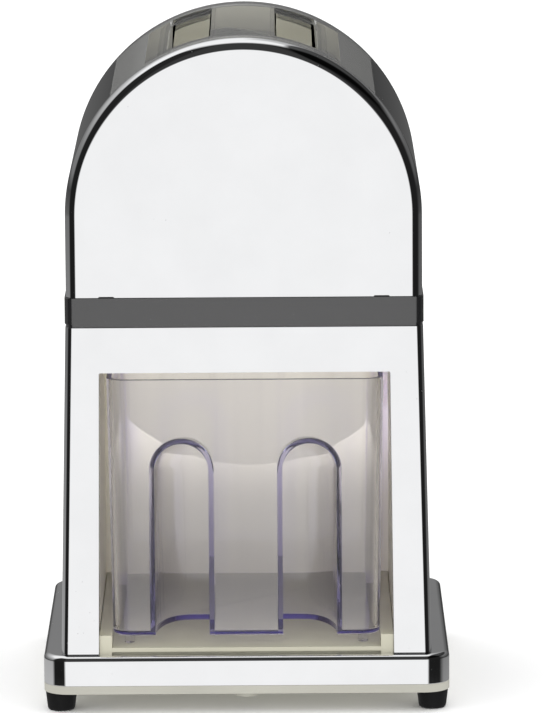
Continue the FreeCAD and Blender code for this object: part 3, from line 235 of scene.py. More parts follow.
@contextmanager
def editing(piece: Piece) -> Iterator[None]:
    """Edit mode on one piece, with nothing picked at its start.

    Args:
        piece: the piece.
    """
    alone(piece)
    bpy.ops.object.mode_set(mode="EDIT")
    bpy.ops.mesh.select_all(action="DESELECT")
    yield
    bpy.ops.object.mode_set(mode="OBJECT")


def pick(piece: Piece, part: Part, test: Test | None = None, whole: bool = True) -> None:
    """Pick mesh elements by place, in edit mode.

    Args:
        piece: the piece in edit mode.
        part: what is picked.
        test: says whether a place in millimetres is meant; without it, all of them are.
        whole: test every corner of an element, and not its middle.
    """
    bpy.ops.mesh.select_mode(type=part.value)
    mesh = bmesh.from_edit_mesh(piece.data)
    items = {Part.VERTS: mesh.verts, Part.EDGES: mesh.edges, Part.FACES: mesh.faces}[part]
    for group in (mesh.verts, mesh.edges, mesh.faces):
        for item in group:
            item.select = False
    for item in items:
        corners = [item] if part is Part.VERTS else item.verts
        places = [corner.co / MM for corner in corners]
        if not whole:
            places = [sum(places, Vector()) / len(places)]
        if test is None or all(test(place) for place in places):
            item.select_set(True)
    mesh.select_flush_mode()
    bmesh.update_edit_mesh(piece.data)


def pick_all() -> None:
    """Pick the whole mesh, in edit mode."""
    bpy.ops.mesh.select_all(action="SELECT")


def drop(piece: Piece, part: Part, test: Test, whole: bool = True) -> None:
    """Delete vertices or faces by place, in edit mode.

    Args:
        piece: the piece in edit mode.
        part: what is deleted.
        test: says whether a place in millimetres is meant.
        whole: test a face's every corner and leave its edges; if not, test its middle and take them.
    """
    pick(piece, part, test, whole)
    faces = "ONLY_FACE" if whole else "FACE"
    bpy.ops.mesh.delete(type="VERT" if part is Part.VERTS else faces)


def push(*step: float) -> None:
    """Extrude what is picked by a step in millimetres."""
    bpy.ops.mesh.extrude_region_move(TRANSFORM_OT_translate={"value": mm(*step)})


def stretch(factors: Point, about: Point) -> None:
    """Scale what is picked about a point in millimetres."""
    bpy.ops.transform.resize(value=factors, center_override=mm(*about))


def tilt(degrees: float, about: Point) -> None:
    """Turn what is picked about the X axis, so that its top leans to the front."""
    bpy.ops.transform.rotate(value=-math.radians(degrees), orient_axis="X", center_override=mm(*about))


def cut(point: Point, normal: Point, drop_beyond: bool = False) -> None:
    """Bisect what is picked by a plane, and leave out what lies on its normal's side where that is asked."""
    bpy.ops.mesh.bisect(plane_co=mm(*point), plane_no=Vector(normal).normalized(),
                        clear_outer=drop_beyond, threshold=FINE_WELD)


def round_edges(radius: float, segments: int) -> None:
    """Bevel the picked edges to a round of a radius in millimetres."""
    bpy.ops.mesh.bevel(offset=radius * MM, segments=segments, profile=0.5, affect="EDGES", clamp_overlap=True)


def put_modifier(piece: Piece, kind: str, **settings: object) -> None:
    """Give a piece one modifier and apply it.

    Args:
        piece: the piece.
        kind: the modifier's type.
        settings: the modifier's own settings.
    """
    alone(piece)
    modifier = piece.modifiers.new(kind.lower(), kind)
    for name, value in settings.items():
        setattr(modifier, name, value)
    bpy.ops.object.modifier_apply(modifier=modifier.name)


def thicken(piece: Piece, wall: float) -> None:
    """Give a sheet a wall, inwards from its face, in millimetres."""
    put_modifier(piece, "SOLIDIFY", thickness=wall * MM, offset=-1.0, use_even_offset=True,
                 use_quality_normals=True)


def soften(piece: Piece, radius: float, segments: int = 2, angle: float = 40.0) -> None:
    """Round every edge that is sharper than an angle, by a radius in millimetres."""
    put_modifier(piece, "BEVEL", width=radius * MM, segments=segments, limit_method="ANGLE",
                 angle_limit=math.radians(angle), use_clamp_overlap=True, harden_normals=False,
                 miter_outer="MITER_ARC")


def carve(piece: Piece, tool: Piece, way: Way = Way.CUT) -> None:
    """Cut a tool out of a piece, or unite them, and remove the tool."""
    put_modifier(piece, "BOOLEAN", object=tool, operation=way.value, solver="EXACT")
    bpy.data.objects.remove(tool)


def face_outwards(piece: Piece) -> None:
    """Merge doubles and turn all faces outwards.

    Args:
        piece: the piece.
    """
    with editing(piece):
        pick_all()
        bpy.ops.mesh.remove_doubles(threshold=WELD)
        bpy.ops.mesh.normals_make_consistent(inside=False)


def turn_from(sheet: Piece, axis: float) -> None:
    """Turn an open arched sheet's faces away from an axis.

    Args:
        sheet: the sheet.
        axis: the axis's height in millimetres.
    """
    face_outwards(sheet)
    inwards = 0
    for face in sheet.data.polygons:
        inwards += face.normal.dot(Vector((face.center.x, 0, face.center.z - axis * MM))) < 0
    if inwards * 2 > len(sheet.data.polygons):
        with editing(sheet):
            pick_all()
            bpy.ops.mesh.flip_normals()


def polish(piece: Piece, angle: float = 40.0) -> None:
    """Smooth shading up to an angle, with flat faces kept truly flat.

    Args:
        piece: the piece.
        angle: edges that are sharper than this, in degrees, stay sharp.
    """
    alone(piece)
    bpy.ops.object.shade_smooth_by_angle(angle=math.radians(angle), keep_sharp_edges=True)
    put_modifier(piece, "WEIGHTED_NORMAL", mode="FACE_AREA", weight=50, keep_sharp=True)


def joined(pieces: Sequence[Piece]) -> Piece:
    """Join several pieces into the first.

    Args:
        pieces: the pieces.

    Returns:
        The first one, which now holds all.
    """
    bpy.ops.object.select_all(action="DESELECT")
    for piece in pieces:
        piece.select_set(True)
    bpy.context.view_layer.objects.active = pieces[0]
    bpy.ops.object.join()
    return pieces[0]


def twin(piece: Piece, name: str, step: Point, turn: Point = (0, 0, 0)) -> Piece:
    """Copy of a piece with a mesh of its own.

    Args:
        piece: the piece that is copied.
        name: name of the copy.
        step: how far it is moved, in millimetres.
        turn: degrees that it is turned about X, Y and Z.

    Returns:
        The copy.
    """
    alone(piece)
    bpy.ops.object.duplicate(linked=False)
    copy = bpy.context.active_object
    copy.rotation_euler = [math.radians(angle) for angle in turn]
    copy.location = mm(*step)
    return named(name)


# ---- finishes -------------------------------------------------------------------------------

class NodeBoard:
    """Adds shader nodes to one tree and joins them."""

    NOISE_SPAN = (0.3, 0.7)

    def __init__(self, tree: bpy.types.NodeTree) -> None:
        """Start with an empty tree."""
        self.tree = tree
        tree.nodes.clear()

    def add(self, kind: str, inputs: dict | None = None, **settings: object) -> bpy.types.Node:
        """Add one node.

        Args:
            kind: the node's type, without its leading "ShaderNode".
            inputs: values or output sockets, by input name or number.
            settings: the node's own settings.

        Returns:
            The new node.
        """
        node = self.tree.nodes.new("ShaderNode" + kind)
        for name, value in settings.items():
            setattr(node, name, value)
        for name, value in (inputs or {}).items():
            if isinstance(value, Socket):
                self.tree.links.new(value, node.inputs[name])
            else:
                node.inputs[name].default_value = value
        return node

    def reckon(self, operation: str, first: Socket | float, second: Socket | float = 0.0) -> Socket:
        """Result of one operation on one or two numbers."""
        return self.add("Math", {0: first, 1: second}, operation=operation).outputs[0]

    def spread(self, value: Socket, span: Pair, onto: Pair = (0.0, 1.0)) -> Socket:
        """Map a value from one span onto another."""
        return self.add("MapRange", {"Value": value, "From Min": span[0], "From Max": span[1],
                                     "To Min": onto[0], "To Max": onto[1]}).outputs["Result"]

    def rays(self, *kinds: str) -> Socket:
        """One for rays of some kinds, nought for the others.

        Args:
            kinds: the kinds, such as "Camera".

        Returns:
            The number.
        """
        path = self.add("LightPath")
        share, *others = [path.outputs[f"Is {kind} Ray"] for kind in kinds]
        for other in others:
            share = self.reckon("MAXIMUM", share, other)
        return share

    def place(self) -> Socket:
        """Places on the piece, in metres."""
        return self.add("TexCoord").outputs["Object"]

    def noise(self, scale: float, detail: float = 3.0, squeeze: Point = (1, 1, 1)) -> Socket:
        """Cloudy pattern; scale is in spots per metre, and squeeze multiplies it along each axis."""
        spot = self.add("Mapping", {"Vector": self.place(), "Scale": squeeze}).outputs[0]
        return self.add("TexNoise", {"Vector": spot, "Scale": scale, "Detail": detail}).outputs["Fac"]

    def between(self, share: Socket, low: float, high: float) -> Socket:
        """Map a noise to low and high."""
        return self.spread(share, self.NOISE_SPAN, (low, high))

    def blend(self, share: Socket, first: Socket | Colour, second: Socket | Colour) -> Socket:
        """Colour between two colours."""
        ends = [end if isinstance(end, Socket) else (*end, 1) for end in (first, second)]
        return self.add("Mix", {0: share, 6: ends[0], 7: ends[1]}, data_type="RGBA").outputs[2]

    def bump(self, height: Socket, strength: float, depth: float) -> Socket:
        """Surface relief, depth in millimetres."""
        return self.add("Bump", {"Height": height, "Strength": strength, "Distance": depth * MM}).outputs[0]


def material(name: str) -> tuple[bpy.types.Material, NodeBoard]:
    """New material with an empty node tree.

    Args:
        name: the material's name.

    Returns:
        The material and the board for its nodes.
    """
    made = bpy.data.materials.new(name)
    made.use_nodes = True
    return made, NodeBoard(made.node_tree)


def shade(colour: Colour, by: float) -> Colour:
    """Colour made lighter or darker by a factor."""
    return tuple(min(1.0, part * by) for part in colour)


@dataclass(frozen=True)
class Chrome:
    """Bright plating with a soft ripple, hairline wear and a few specks of dust."""

    name: str
    tint: Colour = (0.93, 0.935, 0.945)
    roughness: float = 0.03
    ripple: float = 0.02
    dust: float = 0.55
    wear: Pair = (0.5, 1.6)
    shadow: float = 0.97
    ripple_depth: float = 0.05
    cloud: Pair = (60, 4)
    hair: Pattern = (900, 2, (1, 1, 0.05))
    waves: Pair = (140, 2)
    speck_cloud: Pair = (70, 1)
    speck_scale: float = 420.0
    speck_edge: Pair = (0.05, 0.09)
    speck_chance: Pair = (0.6, 0.68)

    def make(self) -> bpy.types.Material:
        """Build the material.

        Returns:
            The material.
        """
        made, board = material(self.name)
        cloud = board.noise(*self.cloud)
        hair = board.noise(*self.hair)
        wear = board.reckon("ADD", board.between(cloud, 0, 0.5), board.between(hair, 0, 0.5))
        rough = board.spread(wear, (0, 1), tuple(self.roughness * part for part in self.wear))
        cells = board.add("TexVoronoi", {"Vector": board.place(), "Scale": self.speck_scale,
                                         "Randomness": 1.0})
        speck = board.spread(cells.outputs["Distance"], self.speck_edge, (self.dust, 0.0))
        chance = board.spread(board.noise(*self.speck_cloud), self.speck_chance)
        grit = board.reckon("MULTIPLY", speck, chance)
        rough = board.reckon("MAXIMUM", rough, grit)
        colour = board.blend(board.between(cloud, 0, 1), shade(self.tint, self.shadow), self.tint)
        relief = board.bump(board.noise(*self.waves), self.ripple, self.ripple_depth)
        shader = board.add("BsdfPrincipled", {"Base Color": colour, "Metallic": 1.0, "Roughness": rough,
                                              "Normal": relief})
        board.add("OutputMaterial", {"Surface": shader.outputs[0]})
        return made


@dataclass(frozen=True)
class Moulded:
    """Opaque moulded plastic or rubber with a fine grain and slight mottling, drawn as upright painted
    reflection bands where it is streaked.
    """

    name: str
    colour: Colour
    roughness: float = 0.4
    grain: float = 0.15
    grain_size: float = 1400.0
    mottle: float = 0.05
    specular: float = 0.5
    ior: float = 1.5
    # Stretches the mottling into upright streaks: painted reflection bands, not a mark of the plastic itself.
    painted_reflection_streak: float = 0.0
    cloud: Pair = (28, 5)
    painted_reflection_cloud: Pair = (75, 3)
    grain_depth: float = 0.06
    wear: float = 0.12

    def make(self) -> bpy.types.Material:
        """Build the material.

        Returns:
            The material.
        """
        made, board = material(self.name)
        # Streaked mottling paints upright reflection bands into the colour.
        pattern = (*self.painted_reflection_cloud, (1, 1, self.painted_reflection_streak)) if self.painted_reflection_streak else self.cloud
        cloud = board.noise(*pattern)
        colour = board.blend(board.between(cloud, 0, 1), shade(self.colour, 1 - self.mottle),
                             shade(self.colour, 1 + self.mottle))
        fine = board.noise(self.grain_size, 2)
        rough = board.between(fine, self.roughness * (1 - self.wear), self.roughness * (1 + self.wear))
        shader = board.add("BsdfPrincipled", {"Base Color": colour, "Roughness": rough, "IOR": self.ior,
                                              "Specular IOR Level": self.specular,
                                              "Normal": board.bump(fine, self.grain, self.grain_depth)})
        board.add("OutputMaterial", {"Surface": shader.outputs[0]})
        return made


@dataclass(frozen=True)
class Metal:
    """Plain metal with machining lines round or along the piece."""

    name: str
    colour: Colour
    roughness: float = 0.28
    squeeze: Point = (1, 1, 1)
    lines: Pair = (700.0, 3)
    line_depth: float = 0.05
    line_strength: float = 0.12
    cloud: Pair = (90, 4)
    wear: Pair = (0.7, 1.4)
    shadow: float = 0.9

    def make(self) -> bpy.types.Material:
        """Build the material.

        Returns:
            The material.
        """
        made, board = material(self.name)
        lines = board.noise(*self.lines, self.squeeze)
        cloud = board.noise(*self.cloud)
        rough = board.between(lines, *[self.roughness * part for part in self.wear])
        colour = board.blend(board.between(cloud, 0, 1), shade(self.colour, self.shadow), self.colour)
        relief = board.bump(lines, self.line_strength, self.line_depth)
        shader = board.add("BsdfPrincipled", {"Base Color": colour, "Metallic": 1.0, "Roughness": rough,
                                              "Normal": relief})
        board.add("OutputMaterial", {"Surface": shader.outputs[0]})
        return made


@dataclass(frozen=True)
class Clear:
    """Clear moulded plastic, tinted where light runs a long way through it."""

    name: str
    tint: Colour
    density: float
    roughness: float = 0.01
    ior: float = 1.5
    passing: Colour = (0.99, 0.99, 0.99)
    flow: float = 0.05
    film: Colour = (1.0, 1.0, 1.0)
    haze: float = 0.0
    deepest: float = 2.5
    milk: Colour = (0.8, 0.8, 0.79)
    flow_pattern: Pattern = (22, 2, (1, 1, 0.12))
    flow_depth: float = 0.6
    cloud: Pair = (160, 3)
    wear: Pair = (0.5, 1.5)

    def make(self) -> bpy.types.Material:
        """Build the material, which light for other pieces and long paths pass straight.

        Returns:
            The material.
        """
        made, board = material(self.name)
        flow = board.noise(*self.flow_pattern)
        rough = board.between(board.noise(*self.cloud), *[self.roughness * part for part in self.wear])
        body = board.add("BsdfPrincipled", {"Base Color": (*self.film, 1), "Transmission Weight": 1.0,
                                            "Roughness": rough, "IOR": self.ior,
                                            "Normal": board.bump(flow, self.flow, self.flow_depth)})
        air = board.add("BsdfTransparent", {"Color": (*self.passing, 1)})
        depth = board.add("LightPath").outputs["Ray Depth"]
        straight = board.reckon("MAXIMUM", board.rays("Shadow", "Diffuse"),
                                board.reckon("GREATER_THAN", depth, self.deepest))
        if self.haze:
            milk = board.add("BsdfDiffuse", {"Color": (*self.milk, 1)})
            body = board.add("MixShader", {0: self.haze, 1: body.outputs[0], 2: milk.outputs[0]})
        surface = board.add("MixShader", {0: straight, 1: body.outputs[0], 2: air.outputs[0]})
        inside = board.add("VolumeAbsorption", {"Color": (*self.tint, 1), "Density": self.density})
        board.add("OutputMaterial", {"Surface": surface.outputs[0], "Volume": inside.outputs[0]})
        return made


class Finish(Enum):
    """The finishes of this object."""

    CHROME = Chrome("chrome_plate")
    CRANK_CHROME = Chrome("crank_plate", roughness=0.06, ripple=0.03)
    BAND = Moulded("dark_band_plastic", (0.009, 0.009, 0.0095), 0.15, 0.02, specular=1.0, ior=1.6)
    BASE_CREAM = Moulded("base_cream", (0.49, 0.48, 0.42), 0.42, 0.08)
    # The bay's streaked mottling is painted reflection bands.
    BAY_CREAM = Moulded("bay_cream", (0.84, 0.80, 0.63), 0.38, 0.04, painted_reflection_streak=0.03)
    TRAY_CREAM = Moulded("tray_cream", (0.56, 0.54, 0.43), 0.42, 0.08)
    HOPPER_CREAM = Moulded("hopper_cream", (0.70, 0.68, 0.58), 0.4, 0.06)
    RUBBER = Moulded("foot_rubber", (0.009, 0.009, 0.0095), 0.5, 0.3, 1100.0, 0.1, specular=0.12)
    KNOB = Moulded("knob_plastic", (0.014, 0.014, 0.015), 0.3, 0.06)
    CLEAR = Clear("clear_plastic", (0.23, 0.16, 0.85), 26.0)
    SMOKE = Clear("smoked_plastic", (0.7, 0.7, 0.7), 12.0, 0.06, 1.22, (0.87, 0.87, 0.86), 0.012,
                  (0.9, 0.9, 0.87), 0.08, 0.5)
    BLADE = Metal("blade_steel", (0.62, 0.62, 0.63), 0.3, (1, 0.2, 1))
    SHAFT = Metal("shaft_steel", (0.55, 0.55, 0.56), 0.34, (1, 6, 1))
    BRASS = Metal("bush_brass", (0.78, 0.57, 0.24), 0.3, (1, 5, 1))
    SCREW = Metal("screw_steel", (0.66, 0.66, 0.67), 0.25)


class Paintbox:
    """Makes each finish once and puts it on pieces."""

    def __init__(self) -> None:
        """Start with no finish made."""
        self.made: dict[Finish, bpy.types.Material] = {}

    def get(self, finish: Finish) -> bpy.types.Material:
        """Material of a finish.

        Args:
            finish: the finish.

        Returns:
            Its material, made when it is asked for the first time.
        """
        if finish not in self.made:
            self.made[finish] = finish.value.make()
        return self.made[finish]

    def paint(self, piece: Piece, finish: Finish) -> None:
        """Put a finish on all of a piece.

        Args:
            piece: the piece.
            finish: the finish.
        """
        if not piece.material_slots:
            piece.data.materials.append(self.get(finish))
        for slot in piece.material_slots:
            slot.material = self.get(finish)


# ---- the object -----------------------------------------------------------------------------

@dataclass
class Levels:
    """Heights and depths that several sub-assemblies share."""

    foot_height: float = 8.0
    pan_height: float = 3.2
    base_height: float = 11.8
    lower_height: float = 129.2
    collar_height: float = 11.4
    arch_rise: float = 31.6
    arch_radius: float = 68.7
    arch_corners: int = 256
    lid_angle: float = 48.0
    housing_depth: float = 124.0
    cover_depth: float = 5.2
    tray_thickness: float = 2.6
    drawer_lift: float = 4.0

    @property
    def pan_top(self) -> float:
        """Top of the base pan."""
        return self.foot_height + self.pan_height

    @property
    def deck(self) -> float:
        """Top of the chrome base."""
        return self.pan_top + self.base_height

    @property
    def collar_bottom(self) -> float:
        """Lower edge of the dark band."""
        return self.deck + self.lower_height

    @property
    def collar_top(self) -> float:
        """Upper edge of the dark band."""
        return self.collar_bottom + self.collar_height

    @property
    def axis(self) -> float:
        """Height of the crank shaft and the arch's centre."""
        return self.collar_top + self.arch_rise

    @property
    def front(self) -> float:
        """The housing's front, as a place along Y."""
        return -self.housing_depth / 2

    @property
    def shell_half(self) -> float:
        """Half the length of the arched shell."""
        return self.housing_depth / 2 - self.cover_depth

    @property
    def drawer_floor(self) -> float:
        """Underside of the drawer."""
        return self.deck + self.tray_thickness + self.drawer_lift

    def off_top(self, place: Vector) -> float:
        """Angle of a place about the shaft from straight up, in degrees."""
        return abs(math.degrees(math.atan2(place.x, place.z - self.axis)))


@dataclass
class Assembly:
    """Sub-assembly that models its outer pieces and dresses its inner ones."""

    paints: Paintbox
    levels: Levels = field(default_factory=Levels)

    def fit(self, piece: Piece, finish: Finish, body: str, slot: str, *nodes: str) -> str:
        """Paint a new piece, tie it to its body and hide the nodes it stands for.

        Args:
            piece: the modelled piece.
            finish: its finish.
            body: the body it rides on.
            slot: not used.
            nodes: the nodes that it stands for.

        Returns:
            The piece's name.
        """
        self.paints.paint(piece, finish)
        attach(piece, body)
        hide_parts(*nodes)
        return piece.name

    def dress(self, finish: Finish, *names: str) -> list[str]:
        """Put a finish on CAD nodes.

        Args:
            finish: the finish.
            names: the nodes.

        Returns:
            The nodes again.
        """
        for name in names:
            self.paints.paint(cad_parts[name], finish)
        return list(names)

    def build(self) -> list[str]:
        """Build and dress the sub-assembly, and give back its pieces' names."""
        raise NotImplementedError


@dataclass
class Base(Assembly):
    """Chrome base shell over a cream pan, on four rubber feet."""

    width: float = 158.0
    front: float = -65.0
    back: float = 80.6
    corner: float = 10.0
    corner_steps: int = 16
    top_round: float = 2.2
    top_steps: int = 8
    wall: float = 2.0
    edge_round: float = 0.25
    foot_top: float = 6.2
    foot_bottom: float = 5.4
    foot_inset_x: float = 6.6
    foot_inset_y: float = 10.6
    foot_recess: float = 2.6
    foot_sharp: float = 50.0
    foot_corners: int = 48
    recess_radius: float = 3.3
    tread: Pairs = ((1.2, 0.0), (0.6, 0.16), (0.16, 0.6), (0.0, 1.2))

    def make_shell(self) -> Piece:
        """Tray-shaped chrome shell, open below.

        Returns:
            The shell.
        """
        low, high = self.levels.pan_top, self.levels.deck
        half = self.width / 2
        shell = block("base_shell_plated", (-half, self.front, low), (half, self.back, high))
        with editing(shell):
            drop(shell, Part.FACES, lambda place: near(place.z, low))
            pick(shell, Part.EDGES, lambda place: near(place.z, (low + high) / 2), whole=False)
            round_edges(self.corner, self.corner_steps)
            pick(shell, Part.EDGES, lambda place: near(place.z, high))
            round_edges(self.top_round, self.top_steps)
        thicken(shell, self.wall)
        soften(shell, self.edge_round)
        polish(shell)
        return shell

    def make_foot(self) -> Piece:
        """Tapered rubber foot with a rounded tread and a screw recess.

        Returns:
            The foot at the front left.
        """
        x, y = self.width / 2 - self.foot_inset_x, -self.front - self.foot_inset_y
        profile = [(self.recess_radius, self.foot_recess), (self.recess_radius, 0.0),
                   *[(self.foot_bottom - inset, height) for inset, height in self.tread],
                   (self.foot_top, self.levels.foot_height)]
        foot = lathe("foot_rubber_1", profile, (-x, -y, 0), self.foot_corners, Axis.Z)
        soften(foot, self.edge_round, angle=self.foot_sharp)
        polish(foot, self.foot_sharp)
        return foot

    def build(self) -> list[str]:
        """Build and dress the base.

        Returns:
            Names of its pieces.
        """
        rows = [self.fit(self.make_shell(), Finish.CHROME, "housing", "chrome_shell", "base_shell")]
        first = self.make_foot()
        across = self.width - 2 * self.foot_inset_x
        deep = self.back - self.front - 2 * self.foot_inset_y
        feet = {"foot_front_left": first,
                "foot_front_right": twin(first, "foot_rubber_2", (across, 0, 0)),
                "foot_rear_left": twin(first, "foot_rubber_3", (0, deep, 0)),
                "foot_rear_right": twin(first, "foot_rubber_4", (across, deep, 0))}
        rows += [self.fit(foot, Finish.RUBBER, "housing", "rubber_feet", node) for node, foot in feet.items()]
        return rows + self.dress(Finish.BASE_CREAM, "base_pan")


@dataclass
class LowerHousing(Assembly):
    """Tapered chrome housing with the drawer opening, and the cream bay in it."""

    bottom_width: float = 144.0
    top_width: float = 138.0
    wall: float = 2.0
    corner: float = 3.0
    corner_steps: int = 10
    edge_round: float = 0.3
    opening_bottom: float = 114.4
    opening_top: float = 112.0
    opening_height: float = 111.2

    def make_housing(self) -> Piece:
        """Four-sided chrome skirt, open above and below, with the opening in its front.

        Returns:
            The skirt.
        """
        low, high, front = self.levels.deck, self.levels.collar_bottom, self.levels.front
        half = self.bottom_width / 2
        skirt = block("lower_housing_plated", (-half, front, low), (half, -front, high))
        with editing(skirt):
            drop(skirt, Part.FACES, lambda place: near(place.z, low))
            drop(skirt, Part.FACES, lambda place: near(place.z, high))
            pick(skirt, Part.VERTS, lambda place: near(place.z, high))
            stretch((self.top_width / self.bottom_width, 1, 1), (0, 0, high))
            pick(skirt, Part.EDGES, lambda place: near(place.z, (low + high) / 2), whole=False)
            round_edges(self.corner, self.corner_steps)
            top = low + self.opening_height
            lean = (self.opening_bottom - self.opening_top) / 2
            for side in SIDES:
                pick(skirt, Part.FACES, lambda place: near(place.y, front))
                cut((side * self.opening_bottom / 2, front, low), (self.opening_height, 0, side * lean))
            pick(skirt, Part.FACES, lambda place: near(place.y, front))
            cut((0, front, top), (0, 0, 1))
            drop(skirt, Part.FACES, lambda place: near(place.y, front) and abs(place.x) < self.opening_top / 2
                 and place.z < top, whole=False)
        thicken(skirt, self.wall)
        soften(skirt, self.edge_round)
        polish(skirt)
        return skirt

    def build(self) -> list[str]:
        """Build and dress the lower housing.

        Returns:
            Names of its pieces.
        """
        rows = [self.fit(self.make_housing(), Finish.CHROME, "housing", "chrome_shell", "lower_housing")]
        rows += self.dress(Finish.BAY_CREAM, "bay_liner")
        rows += self.dress(Finish.TRAY_CREAM, "bay_tray")
        return rows + self.dress(Finish.BAND, "collar")


@dataclass
class UpperHousing(Assembly):
    """Arched chrome shell between a front and a rear cover."""

    wall: float = 2.6
    cover_round: float = 4.6
    cover_steps: int = 14
    cover_wall: float = 2.0
    edge_round: float = 0.2
    sharp_angle: float = 30.0
    ledge_angle: float = 53.0
    ledge_gap: float = 0.02
    ledge_thickness: float = 1.8
    mouth_width: float = 72.8
    mouth_length: float = 97.0
    shaft_hole: float = 6.5
    bore_start: float = 40.0
    bore_length: float = 40.0
    bore_corners: int = 48
    notch_place: float = 53.0
    notch_width: float = 5.8
    notch_height: float = 0.5
    notch_depth: float = 4.0

    def arch(self, name: str, radius: float, y: float) -> Piece:
        """Open line of edges: upright sides under a half circle.

        Args:
            name: name of the piece it starts.
            radius: radius of the half circle in millimetres.
            y: its place along Y in millimetres.

        Returns:
            The new piece.
        """
        axis, foot = self.levels.axis, self.levels.collar_top
        line = ring(name, radius, (0, y, axis), self.levels.arch_corners)
        with editing(line):
            drop(line, Part.VERTS, lambda place: place.z < axis - SLACK)
            for side in SIDES:
                pick(line, Part.VERTS, lambda place: near(place.z, axis) and place.x * side > 0)
                push(0, 0, foot - axis)
        return line

    def make_shell(self) -> Piece:
        """Arched sheet with the lid's opening and the ledge that the lid rests on.

        Returns:
            The shell.
        """
        levels = self.levels
        half, axis, opening = levels.shell_half, levels.axis, levels.lid_angle
        shell = self.arch("upper_shell_plated", levels.arch_radius, -half)
        with editing(shell):
            pick(shell, Part.EDGES)
            push(0, 2 * half, 0)
            for side in SIDES:
                turn = math.radians(opening) * side
                pick(shell, Part.FACES, lambda place: place.x * side > 0 and place.z > axis, whole=False)
                cut((0, 0, axis), (math.cos(turn), 0, -math.sin(turn)))
            drop(shell, Part.FACES, lambda place: levels.off_top(place) < opening, whole=False)
        turn_from(shell, axis)
        thicken(shell, self.wall)
        return joined([shell, self.make_ledge()])

    def make_ledge(self) -> Piece:
        """Frame under the lid, with the hopper's mouth in it.

        Returns:
            The ledge.
        """
        levels, wide, long = self.levels, self.mouth_width / 2, self.mouth_length / 2
        half, axis, radius = levels.shell_half, levels.axis, levels.arch_radius - self.wall - self.ledge_gap
        ledge = ring("lid_ledge", radius, (0, -half, axis), levels.arch_corners)
        with editing(ledge):
            drop(ledge, Part.VERTS, lambda place: levels.off_top(place) > self.ledge_angle)
            pick(ledge, Part.EDGES)
            push(0, 2 * half, 0)
            for side in SIDES:
                pick_all()
                cut((side * wide, 0, 0), (1, 0, 0))
                pick_all()
                cut((0, side * long, 0), (0, 1, 0))
            drop(ledge, Part.FACES, lambda place: abs(place.x) < wide and abs(place.y) < long, whole=False)
        turn_from(ledge, axis)
        thicken(ledge, self.ledge_thickness)
        return ledge

    def make_cover(self, name: str, side: Side) -> Piece:
        """Cover with a rounded outer edge and a hollow back.

        Args:
            name: name of the new piece.
            side: the end of the housing that it closes.

        Returns:
            The cover.
        """
        inner = side.value * self.levels.shell_half
        outer = side.value * self.levels.housing_depth / 2
        cover = self.arch(name, self.levels.arch_radius, inner)
        with editing(cover):
            pick(cover, Part.EDGES)
            bpy.ops.mesh.edge_face_add()
            push(0, outer - inner, 0)
        face_outwards(cover)
        with editing(cover):
            pick(cover, Part.EDGES, lambda place: near(place.y, outer))
            self.leave_foot_edge(cover)
            round_edges(self.cover_round, self.cover_steps)
            pick(cover, Part.FACES, lambda place: near(place.y, inner))
            bpy.ops.mesh.inset(thickness=self.wall * MM)
            push(0, side.value * (self.levels.cover_depth - self.cover_wall), 0)
        face_outwards(cover)
        return cover

    def leave_foot_edge(self, cover: Piece) -> None:
        """Take the cover's lower edge out of what is picked.

        Args:
            cover: the cover in edit mode.
        """
        mesh = bmesh.from_edit_mesh(cover.data)
        for edge in mesh.edges:
            if edge.select and all(near(corner.co.z / MM, self.levels.collar_top) for corner in edge.verts):
                edge.select_set(False)
        bmesh.update_edit_mesh(cover.data)

    def build(self) -> list[str]:
        """Build and dress the upper housing.

        Returns:
            Names of its pieces.
        """
        shell = self.make_shell()
        front = self.make_cover("front_cover_plated", Side.FRONT)
        rear = self.make_cover("rear_cover_plated", Side.REAR)
        carve(rear, peg("shaft_bore", self.shaft_hole, (0, self.bore_start, self.levels.axis),
                        self.bore_corners, (0, self.bore_length, 0)))
        foot, face, half = self.levels.collar_top, self.levels.front, self.notch_width / 2
        for side in SIDES:
            low, high = sorted((side * (self.notch_place - half), side * (self.notch_place + half)))
            carve(front, block("notch_tool", (low, face - OVER, foot - OVER),
                               (high, face + self.notch_depth, foot + self.notch_height)))
        rows = []
        for piece, node in ((shell, "upper_shell"), (front, "front_cover"), (rear, "rear_cover")):
            soften(piece, self.edge_round)
            polish(piece, self.sharp_angle)
            rows.append(self.fit(piece, Finish.CHROME, "housing", "chrome_shell", node))
        return rows


